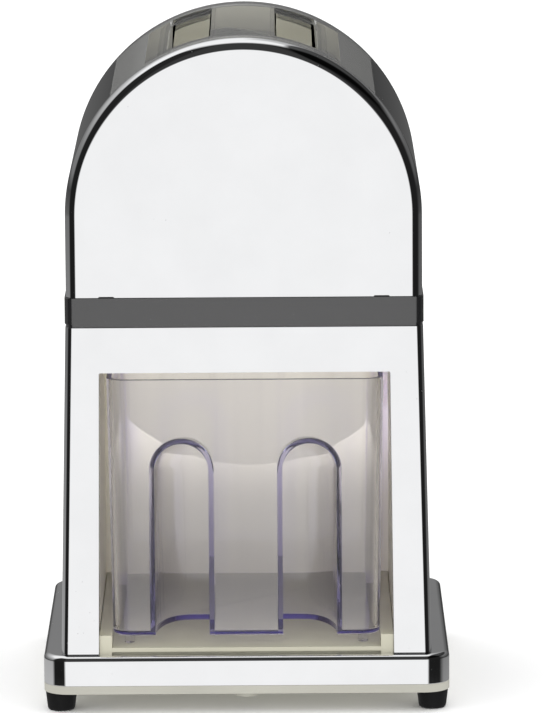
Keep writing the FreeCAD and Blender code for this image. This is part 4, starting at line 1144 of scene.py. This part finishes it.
@dataclass
class TopLid(Assembly):
    """Smoked lid that follows the arch, with two finger pockets."""

    wall: float = 2.1
    blank_radius: float = 46.0
    blank_foot: float = 5.0
    blank_slack: float = 0.1
    gap: float = 0.3
    edge_round: float = 0.3
    edge_steps: int = 3
    edge_angle: float = 0.4
    sharp_angle: float = 30.0
    pocket_start: float = 13.5
    pocket_width: float = 15.0
    pocket_length: float = 90.0
    pocket_floor: float = 55.0
    pocket_over: float = 2.0
    pocket_foot: float = 1.0
    pocket_foot_steps: int = 4
    pocket_corner: float = 3.0
    pocket_corner_steps: int = 8
    pocket_taper: float = 5.0

    def make_blank(self) -> Piece:
        """Thick arched block, as long as the lid.

        Returns:
            The blank.
        """
        half, axis, radius = self.levels.shell_half - self.gap, self.levels.axis, self.levels.arch_radius
        turn = math.radians(self.levels.lid_angle) - self.gap / radius
        blank = ring("top_lid_smoked", radius, (0, -half, axis), self.levels.arch_corners)
        with editing(blank):
            drop(blank, Part.VERTS, lambda place: place.z < axis + self.blank_foot)
            for side in SIDES:
                pick_all()
                cut((0, 0, axis), (side * math.cos(turn), 0, -math.sin(turn)), drop_beyond=True)
            pick_all()
            push(0, 2 * half, 0)
        turn_from(blank, axis)
        thicken(blank, radius - self.blank_radius)
        return blank

    def make_pocket(self, side: int) -> Piece:
        """Tool that presses one finger pocket.

        Args:
            side: -1 for the left pocket, 1 for the right one.

        Returns:
            The tool.
        """
        floor = self.levels.axis + self.pocket_floor
        low, high = sorted((side * self.pocket_start, side * (self.pocket_start + self.pocket_width)))
        half, rise = self.pocket_length / 2, self.levels.arch_radius - self.pocket_floor + self.pocket_over
        lean = rise * math.tan(math.radians(self.pocket_taper))
        tool = block("pocket_tool", (low, -half, floor), (high, half, floor + rise))
        with editing(tool):
            pick(tool, Part.VERTS, lambda place: near(place.z, floor + rise))
            stretch((1 + 2 * lean / self.pocket_width, 1 + lean / half, 1), ((low + high) / 2, 0, floor))
            pick(tool, Part.EDGES, lambda place: near(place.z, floor + rise / 2), whole=False)
            round_edges(self.pocket_corner, self.pocket_corner_steps)
            pick(tool, Part.EDGES, lambda place: near(place.z, floor))
            round_edges(self.pocket_foot, self.pocket_foot_steps)
        return tool

    def make_lid(self) -> Piece:
        """Arched sheet pressed in at the two pockets.

        Returns:
            The lid.
        """
        lid = self.make_blank()
        for side in SIDES:
            carve(lid, self.make_pocket(side))
        half, axis = self.levels.shell_half - self.gap, self.levels.axis
        edge, inside = self.levels.lid_angle - self.edge_angle, self.blank_radius + self.blank_slack
        with editing(lid):
            for side in SIDES:
                drop(lid, Part.FACES, lambda place: side * place.y > half - SLACK)
            drop(lid, Part.FACES, lambda place: self.levels.off_top(place) > edge)
            drop(lid, Part.FACES, lambda place: math.hypot(place.x, place.z - axis) < inside)
            pick_all()
            bpy.ops.mesh.delete_loose()
        thicken(lid, self.wall)
        soften(lid, self.edge_round, self.edge_steps)
        polish(lid, self.sharp_angle)
        return lid

    def build(self) -> list[str]:
        """Build and dress the lid."""
        return [self.fit(self.make_lid(), Finish.SMOKE, "lid", "smoke_plastic", "top_lid")]


@dataclass
class Crusher(Assembly):
    """Cream hopper with the combs, the toothed rotor, its shaft and its bushes."""

    blades: int = 5

    def build(self) -> list[str]:
        """Dress the hopper and the works in it.

        Returns:
            Names of its pieces.
        """
        rows = self.dress(Finish.HOPPER_CREAM, "hopper")
        rows += self.dress(Finish.BLADE, "comb_left", "comb_right",
                           *[f"rotor_blade_{number}" for number in range(1, self.blades + 1)])
        rows += self.dress(Finish.SHAFT, "drive_shaft", "end_spacer_front", "end_spacer_rear", "shaft_clip",
                           *[f"spacer_{number}" for number in range(1, self.blades)])
        return rows + self.dress(Finish.BRASS, "front_bush", "rear_bush")


@dataclass
class ScrewMaker:
    """Pan-head screws with a cross recess: one is modelled, the others are its copies."""

    shank: float = 1.6
    head: float = 3.2
    head_height: float = 1.8
    head_rim: Pairs = ((0.0, 0.7), (0.2, 0.3), (0.7, 0.0))
    length: float = 9.0
    recess_width: float = 0.75
    recess_span: float = 3.4
    recess_depth: float = 1.1
    edge_round: float = 0.12
    sharp_angle: float = 50.0
    corners: int = 40
    first: Piece | None = None

    def make_first(self) -> Piece:
        """Screw with its head up, whose head rests at height zero.

        Returns:
            The screw.
        """
        top = self.head_height
        profile = [(self.shank, -self.length), (self.shank, 0), (self.head, 0),
                   *[(self.head - inset, top - down) for inset, down in self.head_rim]]
        screw = lathe("screw_pattern", profile, (0, 0, 0), self.corners, Axis.Z)
        half, low = self.recess_span / 2, top - self.recess_depth
        for wide, deep in ((half, self.recess_width / 2), (self.recess_width / 2, half)):
            carve(screw, block("recess_tool", (-wide, -deep, low), (wide, deep, top + OVER)))
        soften(screw, self.edge_round, angle=self.sharp_angle)
        polish(screw)
        return screw

    def row(self, name: str, spots: Sequence[Point], turn: Point) -> Piece:
        """Copies of the screw joined into one piece.

        Args:
            name: name of the new piece.
            spots: where each head rests, in millimetres.
            turn: degrees about X, Y and Z that turn the head from pointing up.

        Returns:
            The new piece.
        """
        self.first = self.first or self.make_first()
        return joined([twin(self.first, name, spot, turn) for spot in spots])

    def drop_pattern(self) -> None:
        """Remove the pattern once every row is made."""
        bpy.data.objects.remove(self.first)
        self.first = None


@dataclass
class Fasteners(Assembly):
    """Screws: those that show from the back and from below are modelled, the inner ones dressed."""

    maker: ScrewMaker = field(default_factory=ScrewMaker)
    boss_x: float = 58.8
    boss_y: Pair = (-52.5, 68.1)
    mid_boss_y: Pair = (-58.0, 73.6)
    pan_seat: float = 8.0
    foot_x: float = 72.4
    foot_y: Pair = (-54.4, 70.0)
    foot_seat: float = 2.6
    post_x: float = 65.5
    post_y: Pair = (-46.0, 46.0)
    post_seat: float = 21.0
    cover_spots: tuple[Pair, Pair] = ((60.7, 175.6), (55.01, 220.85))
    crank_seat: float = 73.1
    down: Point = (180.0, 0.0, 0.0)
    backwards: Point = (-90.0, 0.0, 0.0)

    @staticmethod
    def spots(x: float, depths: Pair, height: float) -> list[Point]:
        """Places at both sides of the middle, for each of two depths."""
        return [(side * x, y, height) for side in SIDES for y in depths]

    def build(self) -> list[str]:
        """Make every row of screws from one pattern.

        Returns:
            Names of the rows and of the inner screws.
        """
        down, back, rear = self.down, self.backwards, self.levels.housing_depth / 2
        middle = [(0, y, self.pan_seat) for y in self.mid_boss_y]
        covers = [(side * x, rear, z) for side in SIDES for x, z in self.cover_spots]
        groups: list[tuple[str, str, list[Point], Point]] = [
            ("base_screws", "housing", self.spots(self.boss_x, self.boss_y, self.pan_seat) + middle, down),
            ("foot_screws", "housing", self.spots(self.foot_x, self.foot_y, self.foot_seat), down),
            ("housing_screws", "housing", self.spots(self.post_x, self.post_y, self.post_seat), down),
            ("cover_screws", "housing", covers, back),
            ("crank_screw", "crank", [(0, self.crank_seat, self.levels.axis)], back)]
        rows = []
        for node, body, spots, turn in groups:
            screws = self.maker.row(f"{node}_steel", spots, turn)
            rows.append(self.fit(screws, Finish.SCREW, body, "screw_steel", node))
        self.maker.drop_pattern()
        return rows + self.dress(Finish.SCREW, "hopper_screws", "comb_screws_left", "comb_screws_right")


@dataclass
class Crank(Assembly):
    """Chromed crank at the back, with its turning knob."""

    gap: float = 1.5
    throw: float = 74.0
    hub_radius: float = 12.0
    hub_length: float = 13.0
    hub_chamfer: float = 0.5
    hub_rim: Pairs = ((0.0, 1.2), (0.16, 0.74), (0.46, 0.35), (0.95, 0.09), (1.2, 0.0))
    hub_sharp: float = 35.0
    arm_lift: float = 2.0
    arm_thickness: float = 6.0
    arm_root: float = 20.4
    arm_end: float = 9.0
    arm_end_flat: float = 0.1
    arm_end_steps: int = 16
    arm_round: float = 0.8
    arm_steps: int = 4
    arm_sharp: float = 50.0
    square: float = 6.9
    square_depth: float = 7.5
    cap_radius: float = 8.4
    cap_depth: float = 1.6
    cap_gap: float = 0.1
    cap_sharp: float = 50.0
    cap_dome: Pairs = ((0.0, -0.2), (0.25, 0.1), (0.9, 0.42), (2.4, 0.62), (5, 0.76), (7.6, 0.8))
    screw_hole: float = 1.7
    screw_seat: float = 3.3
    screw_head: float = 1.8
    pin_hole: float = 2.6
    knob_gap: float = 0.4
    knob_length: float = 42.0
    knob_bore: float = 3.6
    knob_seat: float = 5.6
    knob_seat_depth: float = 1.9
    knob_lip: float = 0.3
    knob_barrel: Pairs = (
        (7.1, 0), (7.5, 0.4), (7.75, 1.4), (8.5, 3), (9.12, 7), (9.68, 11), (10.12, 15), (10.4, 19),
        (10.5, 23), (10.42, 27), (10.1, 31), (9.6, 35), (8.98, 38.4), (8.6, 40), (8.1, 41.2), (7.4, 41.8))
    knob_end: float = 6.6
    round_corners: int = 96
    cap_corners: int = 64
    hole_corners: int = 32

    @property
    def face(self) -> float:
        """Front face of the hub, as a place along Y."""
        return self.levels.housing_depth / 2 + self.gap

    @property
    def knob_height(self) -> float:
        """Height of the knob's axis, with the crank hanging down."""
        return self.levels.axis - self.throw

    def make_plate(self) -> Piece:
        """Tapering arm with a round lower end.

        Returns:
            The arm without its hub.
        """
        front = self.face + self.arm_lift
        foot = self.knob_height - self.arm_end
        arm = block("arm_plate", (-self.arm_root / 2, front, foot),
                    (self.arm_root / 2, front + self.arm_thickness, self.levels.axis))
        with editing(arm):
            pick(arm, Part.VERTS, lambda place: near(place.z, foot))
            stretch((2 * self.arm_end / self.arm_root, 1, 1), (0, 0, foot))
            pick(arm, Part.EDGES, lambda place: near(abs(place.x), self.arm_end) and near(place.z, foot))
            round_edges(self.arm_end - self.arm_end_flat, self.arm_end_steps)
        soften(arm, self.arm_round, self.arm_steps, self.arm_sharp)
        return arm

    def make_arm(self) -> Piece:
        """Hub with a square seat in front and a cap seat behind, and the tapering arm.

        Returns:
            The arm.
        """
        axis, radius, length = self.levels.axis, self.hub_radius, self.hub_length
        sunk, seat = self.cap_radius + self.cap_gap, length - self.cap_depth
        profile = [(radius - self.hub_chamfer, 0), (radius, self.hub_chamfer),
                   *[(radius - inset, length - down) for inset, down in self.hub_rim],
                   (sunk, length), (sunk, seat)]
        hub = lathe("crank_arm_plated", profile, (0, self.face, axis), self.round_corners)
        carve(hub, self.make_plate(), Way.ADD)
        half = self.square / 2
        carve(hub, block("square_tool", (-half, self.face - OVER, axis - half),
                         (half, self.face + self.square_depth, axis + half)))
        head = seat - self.screw_head
        carve(hub, lathe("screw_tool", [(self.screw_hole, self.square_depth - OVER), (self.screw_hole, head),
                                        (self.screw_seat, head), (self.screw_seat, seat + OVER)],
                         (0, self.face, axis), self.hole_corners))
        carve(hub, lathe("pin_tool", [(self.pin_hole, -OVER), (self.pin_hole, self.arm_thickness + OVER)],
                         (0, self.face + self.arm_lift, self.knob_height), self.hole_corners))
        polish(hub, self.hub_sharp)
        return hub

    def make_cap(self) -> Piece:
        """Low dome over the crank's screw.

        Returns:
            The cap.
        """
        profile = [(self.cap_radius, 0)]
        profile += [(self.cap_radius - inset, self.cap_depth + rise) for inset, rise in self.cap_dome]
        seat = self.face + self.hub_length - self.cap_depth
        cap = lathe("crank_cap_plated", profile, (0, seat, self.levels.axis), self.cap_corners)
        polish(cap, self.cap_sharp)
        return cap

    def make_knob(self) -> Piece:
        """Barrel-shaped knob, bored for its pin, with the pin's head sunk in its end.

        Returns:
            The knob.
        """
        length, bore, seat, lip = self.knob_length, self.knob_bore, self.knob_seat, self.knob_lip
        start = self.face + self.arm_lift + self.arm_thickness + self.knob_gap
        floor = length - self.knob_seat_depth
        profile = [(bore, lip), (bore + lip, 0), *self.knob_barrel, (self.knob_end, length),
                   (seat + lip, length), (seat, length - lip), (seat, floor), (bore, floor), (bore, lip)]
        knob = lathe("crank_knob_moulded", profile, (0, start, self.knob_height), self.round_corners)
        polish(knob)
        return knob

    def build(self) -> list[str]:
        """Build and dress the crank.

        Returns:
            Names of its pieces.
        """
        arm, cap, knob = self.make_arm(), self.make_cap(), self.make_knob()
        return [self.fit(arm, Finish.CRANK_CHROME, "crank", "crank_chrome", "crank_arm"),
                self.fit(cap, Finish.CRANK_CHROME, "crank", "crank_chrome", "crank_cap"),
                self.fit(knob, Finish.KNOB, "knob", "black_knob", "crank_knob"),
                *self.dress(Finish.SHAFT, "crank_washer", "knob_pin")]


@dataclass
class Drawer(Assembly):
    """Clear drawer for the crushed ice, with two finger grooves in its front."""

    width: float = 104.0
    front: float = -58.0
    back: float = 51.0
    height: float = 101.4
    taper: float = 0.9
    wall: float = 2.0
    corner: float = 7.0
    corner_steps: int = 14
    foot_round: float = 1.6
    foot_steps: int = 5
    edge_round: float = 0.4
    edge_steps: int = 3
    sharp_angle: float = 30.0
    groove_inner: float = 14.3
    groove_width: float = 21.1
    groove_top: float = 105.8
    groove_depth_top: float = 14.0
    groove_depth_foot: float = 29.0
    groove_narrow: float = 13.0
    groove_lower: float = 5.0
    groove_steps: int = 10
    groove_before: float = 4.0
    groove_below: float = 3.0
    groove_corners: int = 64
    nub_radius: float = 2.0
    nub_drop: float = 3.8
    nub_spread: float = 45.5
    nub_inset: float = 7.0
    nub_root: float = 1.0
    nub_corners: int = 24

    def make_blank(self) -> Piece:
        """Solid block with the drawer's outside.

        Returns:
            The blank.
        """
        low = self.levels.drawer_floor
        high = low + self.height
        lean = self.height * math.tan(math.radians(self.taper))
        depth, middle = self.back - self.front, (self.front + self.back) / 2
        blank = block("drawer_clear", (-self.width / 2, self.front, low), (self.width / 2, self.back, high))
        with editing(blank):
            pick(blank, Part.VERTS, lambda place: near(place.z, high))
            stretch((1 + 2 * lean / self.width, 1 + 2 * lean / depth, 1), (0, middle, high))
            pick(blank, Part.EDGES, lambda place: near(place.z, (low + high) / 2), whole=False)
            round_edges(self.corner, self.corner_steps)
            pick(blank, Part.EDGES, lambda place: near(place.z, low))
            round_edges(self.foot_round, self.foot_steps)
        return blank

    def make_groove(self, side: int) -> Piece:
        """Tool for one finger groove: an arch that narrows and leans as it goes back.

        Args:
            side: -1 for the left groove, 1 for the right one.

        Returns:
            The tool.
        """
        floor = self.levels.drawer_floor
        half, run = self.groove_width / 2, self.groove_top - floor
        spring = self.groove_top - half
        inner, start = side * self.groove_inner, self.front - self.groove_before
        tool = ring("groove_tool", half, (side * (self.groove_inner + half), start, spring),
                    self.groove_corners)
        with editing(tool):
            drop(tool, Part.VERTS, lambda place: place.z < spring - SLACK)
            pick(tool, Part.VERTS, lambda place: near(place.z, spring))
            push(0, 0, floor - self.groove_below - spring)
            pick(tool, Part.EDGES)
            bpy.ops.mesh.edge_face_add()
            pick(tool, Part.FACES)
            push(0, self.front - start, 0)
            wide, tall, lean, reached = self.groove_width, run, 0.0, 0.0
            for step in range(1, self.groove_steps + 1):
                bend = math.pi / 2 * step / self.groove_steps
                share, closing = math.sin(bend), 1 - math.cos(bend)
                depth = self.groove_depth_foot * share
                push(0, depth - reached, 0)
                wider = self.groove_width - self.groove_narrow * closing
                more = math.atan((self.groove_depth_foot - self.groove_depth_top) * share / run)
                taller = (run - self.groove_lower * closing) / math.cos(more)
                pivot = (inner, self.front + depth, floor)
                stretch((wider / wide, taller / tall, taller / tall), pivot)
                tilt(math.degrees(more) - lean, pivot)
                wide, tall, lean, reached = wider, taller, math.degrees(more), depth
        face_outwards(tool)
        return tool

    def make_nubs(self) -> list[Piece]:
        """Four small feet under the drawer's floor.

        Returns:
            The nubs.
        """
        start = (-self.nub_spread, self.front + self.nub_inset, self.levels.drawer_floor + self.nub_root)
        first = peg("drawer_nub_1", self.nub_radius, start, self.nub_corners,
                    (0, 0, -self.nub_drop - self.nub_root), Axis.Z)
        across, deep = 2 * self.nub_spread, self.back - self.front - 2 * self.nub_inset
        steps = ((across, 0, 0), (0, deep, 0), (across, deep, 0))
        return [first] + [twin(first, f"drawer_nub_{number}", step) for number, step in enumerate(steps, 2)]

    def make_drawer(self) -> Piece:
        """Open box of even wall with the two grooves pressed into it.

        Returns:
            The drawer.
        """
        drawer = self.make_blank()
        for side in SIDES:
            carve(drawer, self.make_groove(side))
        rim = self.levels.drawer_floor + self.height
        with editing(drawer):
            pick_all()
            bpy.ops.mesh.fill_holes(sides=4)
            drop(drawer, Part.FACES, lambda place: near(place.z, rim))
        thicken(drawer, self.wall)
        for nub in self.make_nubs():
            carve(drawer, nub, Way.ADD)
        soften(drawer, self.edge_round, self.edge_steps)
        polish(drawer, self.sharp_angle)
        return drawer

    def build(self) -> list[str]:
        """Build and dress the drawer."""
        return [self.fit(self.make_drawer(), Finish.CLEAR, "drawer", "clear_plastic", "drawer")]


# ---- studio ---------------------------------------------------------------------------------

@dataclass
class Studio:
    """Pale floor, soft light and the camera; each sky is (degrees above the horizon, level) stops."""

    floor_half: float = 40.0
    floor_tone: float = 0.96
    level: float = 1.3
    table: float = 0.76
    white: float = 1.0
    plain_sky: Pairs = ((-90, 1.0), (20, 1.0), (60, 1.1), (90, 1.1))
    front_sky: Pairs = ((-90, 0.95), (-3, 0.95), (3, 0.04), (64, 0.04), (76, 0.95), (90, 0.95))
    flank_sky: Pairs = ((-90, 0.8), (-20, 0.6), (-14, 0.012), (64, 0.02), (76, 0.95), (90, 0.95))
    rear_sky: Pairs = ((-90, 0.8), (-14, 0.5), (-11, 0.3), (-8, 0.12), (0, 0.06), (6, 0.19),
                                  (14, 0.21), (40, 0.6), (50, 0.95), (90, 0.95))
    front_share: Pairs = ((-24, 0), (-16, 1), (16, 1), (24, 0))
    rear_share: Pairs = ((-82, 1), (-70, 0), (76, 0), (100, 0.5), (170, 0.6), (180, 1))
    screen_rise: Pair = (22.0, 32.0)
    screen_aside: Pair = (0.26, 0.3)
    screen_level: float = 0.12
    bay_light: float = 68.0
    bay_light_size: float = 60.0
    bay_light_angle: float = 9.3
    bay_light_spot: Point = (-50.0, -1600.0, 150.0)
    back_light: float = 0.02
    back_light_size: Pair = (130.0, 78.0)
    back_light_angle: float = 5.0
    back_light_spot: Point = (-35.0, -500.0, 118.0)
    camera_pitch: float = 10.14
    camera_roll: float = -0.37
    camera_distance: float = 2439.0
    camera_aim: Point = (11.8, 0, 129.4)
    camera_focus: float = 6166.0
    camera_frame: float = 713.0
    camera_sensor: float = 36.0
    camera_reach: Pair = (0.05, 100.0)

    def build(self) -> None:
        """Build the floor, the world, the lamps and the camera."""
        self.make_floor()
        self.make_world()
        self.make_lamps()
        self.make_camera()

    def make_floor(self) -> None:
        """White table top that keeps the object's soft shadow."""
        bpy.ops.object.select_all(action="DESELECT")
        bpy.ops.mesh.primitive_plane_add(size=2 * self.floor_half, location=(0, 0, 0))
        floor = named("floor")
        floor.visible_glossy = False
        made, board = material("floor_white")
        matte = board.add("BsdfDiffuse", {"Color": (*[self.floor_tone] * 3, 1)})
        glow = board.add("Emission", {"Color": (1, 1, 1, 1), "Strength": self.table})
        share = board.spread(board.rays("Camera", "Transmission"), (0, 1), (0.5, 0.0))
        mixed = board.add("MixShader", {0: share, 1: matte.outputs[0], 2: glow.outputs[0]})
        board.add("OutputMaterial", {"Surface": mixed.outputs[0]})
        floor.data.materials.append(made)

    @staticmethod
    def share_of(angle: float, turn: float) -> float:
        """Where an angle lies in a turn of so many degrees with zero in its middle, from 0 to 1."""
        return 0.5 + angle / turn

    def ramp(self, board: NodeBoard, share: Socket, stops: Sequence[Pair], turn: float = 180) -> Socket:
        """Grey ramp over an angle.

        Args:
            board: the board that gets the ramp.
            share: the angle, as share_of gives it.
            stops: (degrees, level) stops in rising order.
            turn: how many degrees the ramp spans.

        Returns:
            The ramp's level.
        """
        node = board.add("ValToRGB", {"Fac": share})
        ramp = node.color_ramp
        ramp.interpolation = "LINEAR"
        while len(ramp.elements) < len(stops):
            ramp.elements.new(0.5)
        for element, (angle, level) in zip(ramp.elements, stops):
            element.position = self.share_of(angle, turn)
            element.color = (level, level, level, 1)
        return node.outputs["Color"]

    def make_world(self) -> None:
        """White backdrop; metal sees a bright table, dark screens and a bright screen overhead."""
        world = bpy.data.worlds.new("studio")
        bpy.context.scene.world = world
        world.use_nodes = True
        world.cycles.sampling_method = "NONE"
        board = NodeBoard(world.node_tree)
        way = board.add("SeparateXYZ", {0: board.add("TexCoord").outputs["Generated"]}).outputs
        height = board.spread(board.reckon("ARCSINE", way["Z"]), (-math.pi / 2, math.pi / 2))
        turn = board.reckon("ARCTAN2", way["X"], board.reckon("MULTIPLY", way["Y"], -1.0))
        about = board.spread(turn, (-math.pi, math.pi))
        front, flank, rear = [self.ramp(board, height, sky)
                              for sky in (self.front_sky, self.flank_sky, self.rear_sky)]
        mixed = board.blend(self.ramp(board, about, self.front_share, 360), flank, front)
        mixed = board.blend(self.ramp(board, about, self.rear_share, 360), mixed, rear)
        aside = board.spread(way["X"], self.screen_aside, (1.0, self.screen_level))
        aloft = board.spread(height, tuple(self.share_of(angle, 180) for angle in self.screen_rise))
        shaded = board.add("Mix", {0: aloft, 2: 1.0, 3: aside}, data_type="FLOAT")
        plain = board.add("Background", {"Color": self.ramp(board, height, self.plain_sky),
                                         "Strength": self.level})
        studio = board.add("Background", {"Color": mixed, "Strength": shaded.outputs[0]})
        white = board.add("Background", {"Color": (1, 1, 1, 1), "Strength": self.white})
        first = board.add("MixShader", {0: board.rays("Glossy"), 1: plain.outputs[0], 2: studio.outputs[0]})
        last = board.add("MixShader", {0: board.rays("Camera", "Transmission"), 1: first.outputs[0],
                                       2: white.outputs[0]})
        board.add("OutputWorld", {"Surface": last.outputs[0]})

    @staticmethod
    def make_lamp(name: str, kind: str, spot: Point) -> Piece:
        """Lamp in front of the object that shines level to its middle, and that metal doesn't mirror.

        Args:
            name: the lamp's name.
            kind: the lamp's type.
            spot: its place in millimetres.

        Returns:
            The lamp.
        """
        lamp = bpy.data.objects.new(name, bpy.data.lights.new(name, kind))
        bpy.context.scene.collection.objects.link(lamp)
        lamp.location = mm(*spot)
        lamp.rotation_euler = (math.pi / 2, 0, -math.atan2(-spot[0], -spot[1]))
        lamp.visible_glossy = lamp.visible_transmission = False
        return lamp

    def make_lamps(self) -> None:
        """Two soft lamps from the front: one that reaches into the bay, one for its back wall."""
        data = self.make_lamp("bay_light", "SPOT", self.bay_light_spot).data
        data.energy, data.shadow_soft_size = self.bay_light, self.bay_light_size * MM
        data.spot_size, data.spot_blend = math.radians(self.bay_light_angle), 1.0
        lamp = self.make_lamp("back_light", "AREA", self.back_light_spot)
        lamp.visible_camera = False
        data = lamp.data
        data.energy, data.shape = self.back_light, "RECTANGLE"
        data.spread = math.radians(self.back_light_angle)
        data.size, data.size_y = mm(*self.back_light_size)

    def make_camera(self) -> None:
        """Long lens a little above the object, from its front."""
        pitch, roll = math.radians(self.camera_pitch), math.radians(self.camera_roll)
        forward = Vector((0, math.cos(pitch), -math.sin(pitch)))
        right, upward = Vector((1, 0, 0)), Vector((0, math.sin(pitch), math.cos(pitch)))
        across = right * math.cos(roll) + upward * math.sin(roll)
        above = upward * math.cos(roll) - right * math.sin(roll)
        data = bpy.data.cameras.new("camera")
        data.lens = self.camera_sensor * self.camera_focus / self.camera_frame
        data.sensor_width = self.camera_sensor
        data.clip_start, data.clip_end = self.camera_reach
        camera = bpy.data.objects.new("camera", data)
        bpy.context.scene.collection.objects.link(camera)
        spot = (Vector(self.camera_aim) - forward * self.camera_distance) * MM
        turned = [[across[i], above[i], -forward[i], spot[i]] for i in range(3)] + [[0, 0, 0, 1]]
        camera.matrix_world = Matrix(turned)
        bpy.context.scene.camera = camera
        bpy.context.scene.view_settings.view_transform = "Standard"


def main() -> None:
    """Build everything in order and report each piece."""
    logging.basicConfig(level=logging.INFO, format="%(name)s: %(message)s")
    paints = Paintbox()
    Studio().build()
    for assembly in (Base(paints), LowerHousing(paints), UpperHousing(paints), TopLid(paints),
                     Crusher(paints), Crank(paints), Fasteners(paints), Drawer(paints)):
        for name in assembly.build():
            log.info("%s: %s", type(assembly).__name__, name)


if __name__ == "__main__":
    main()
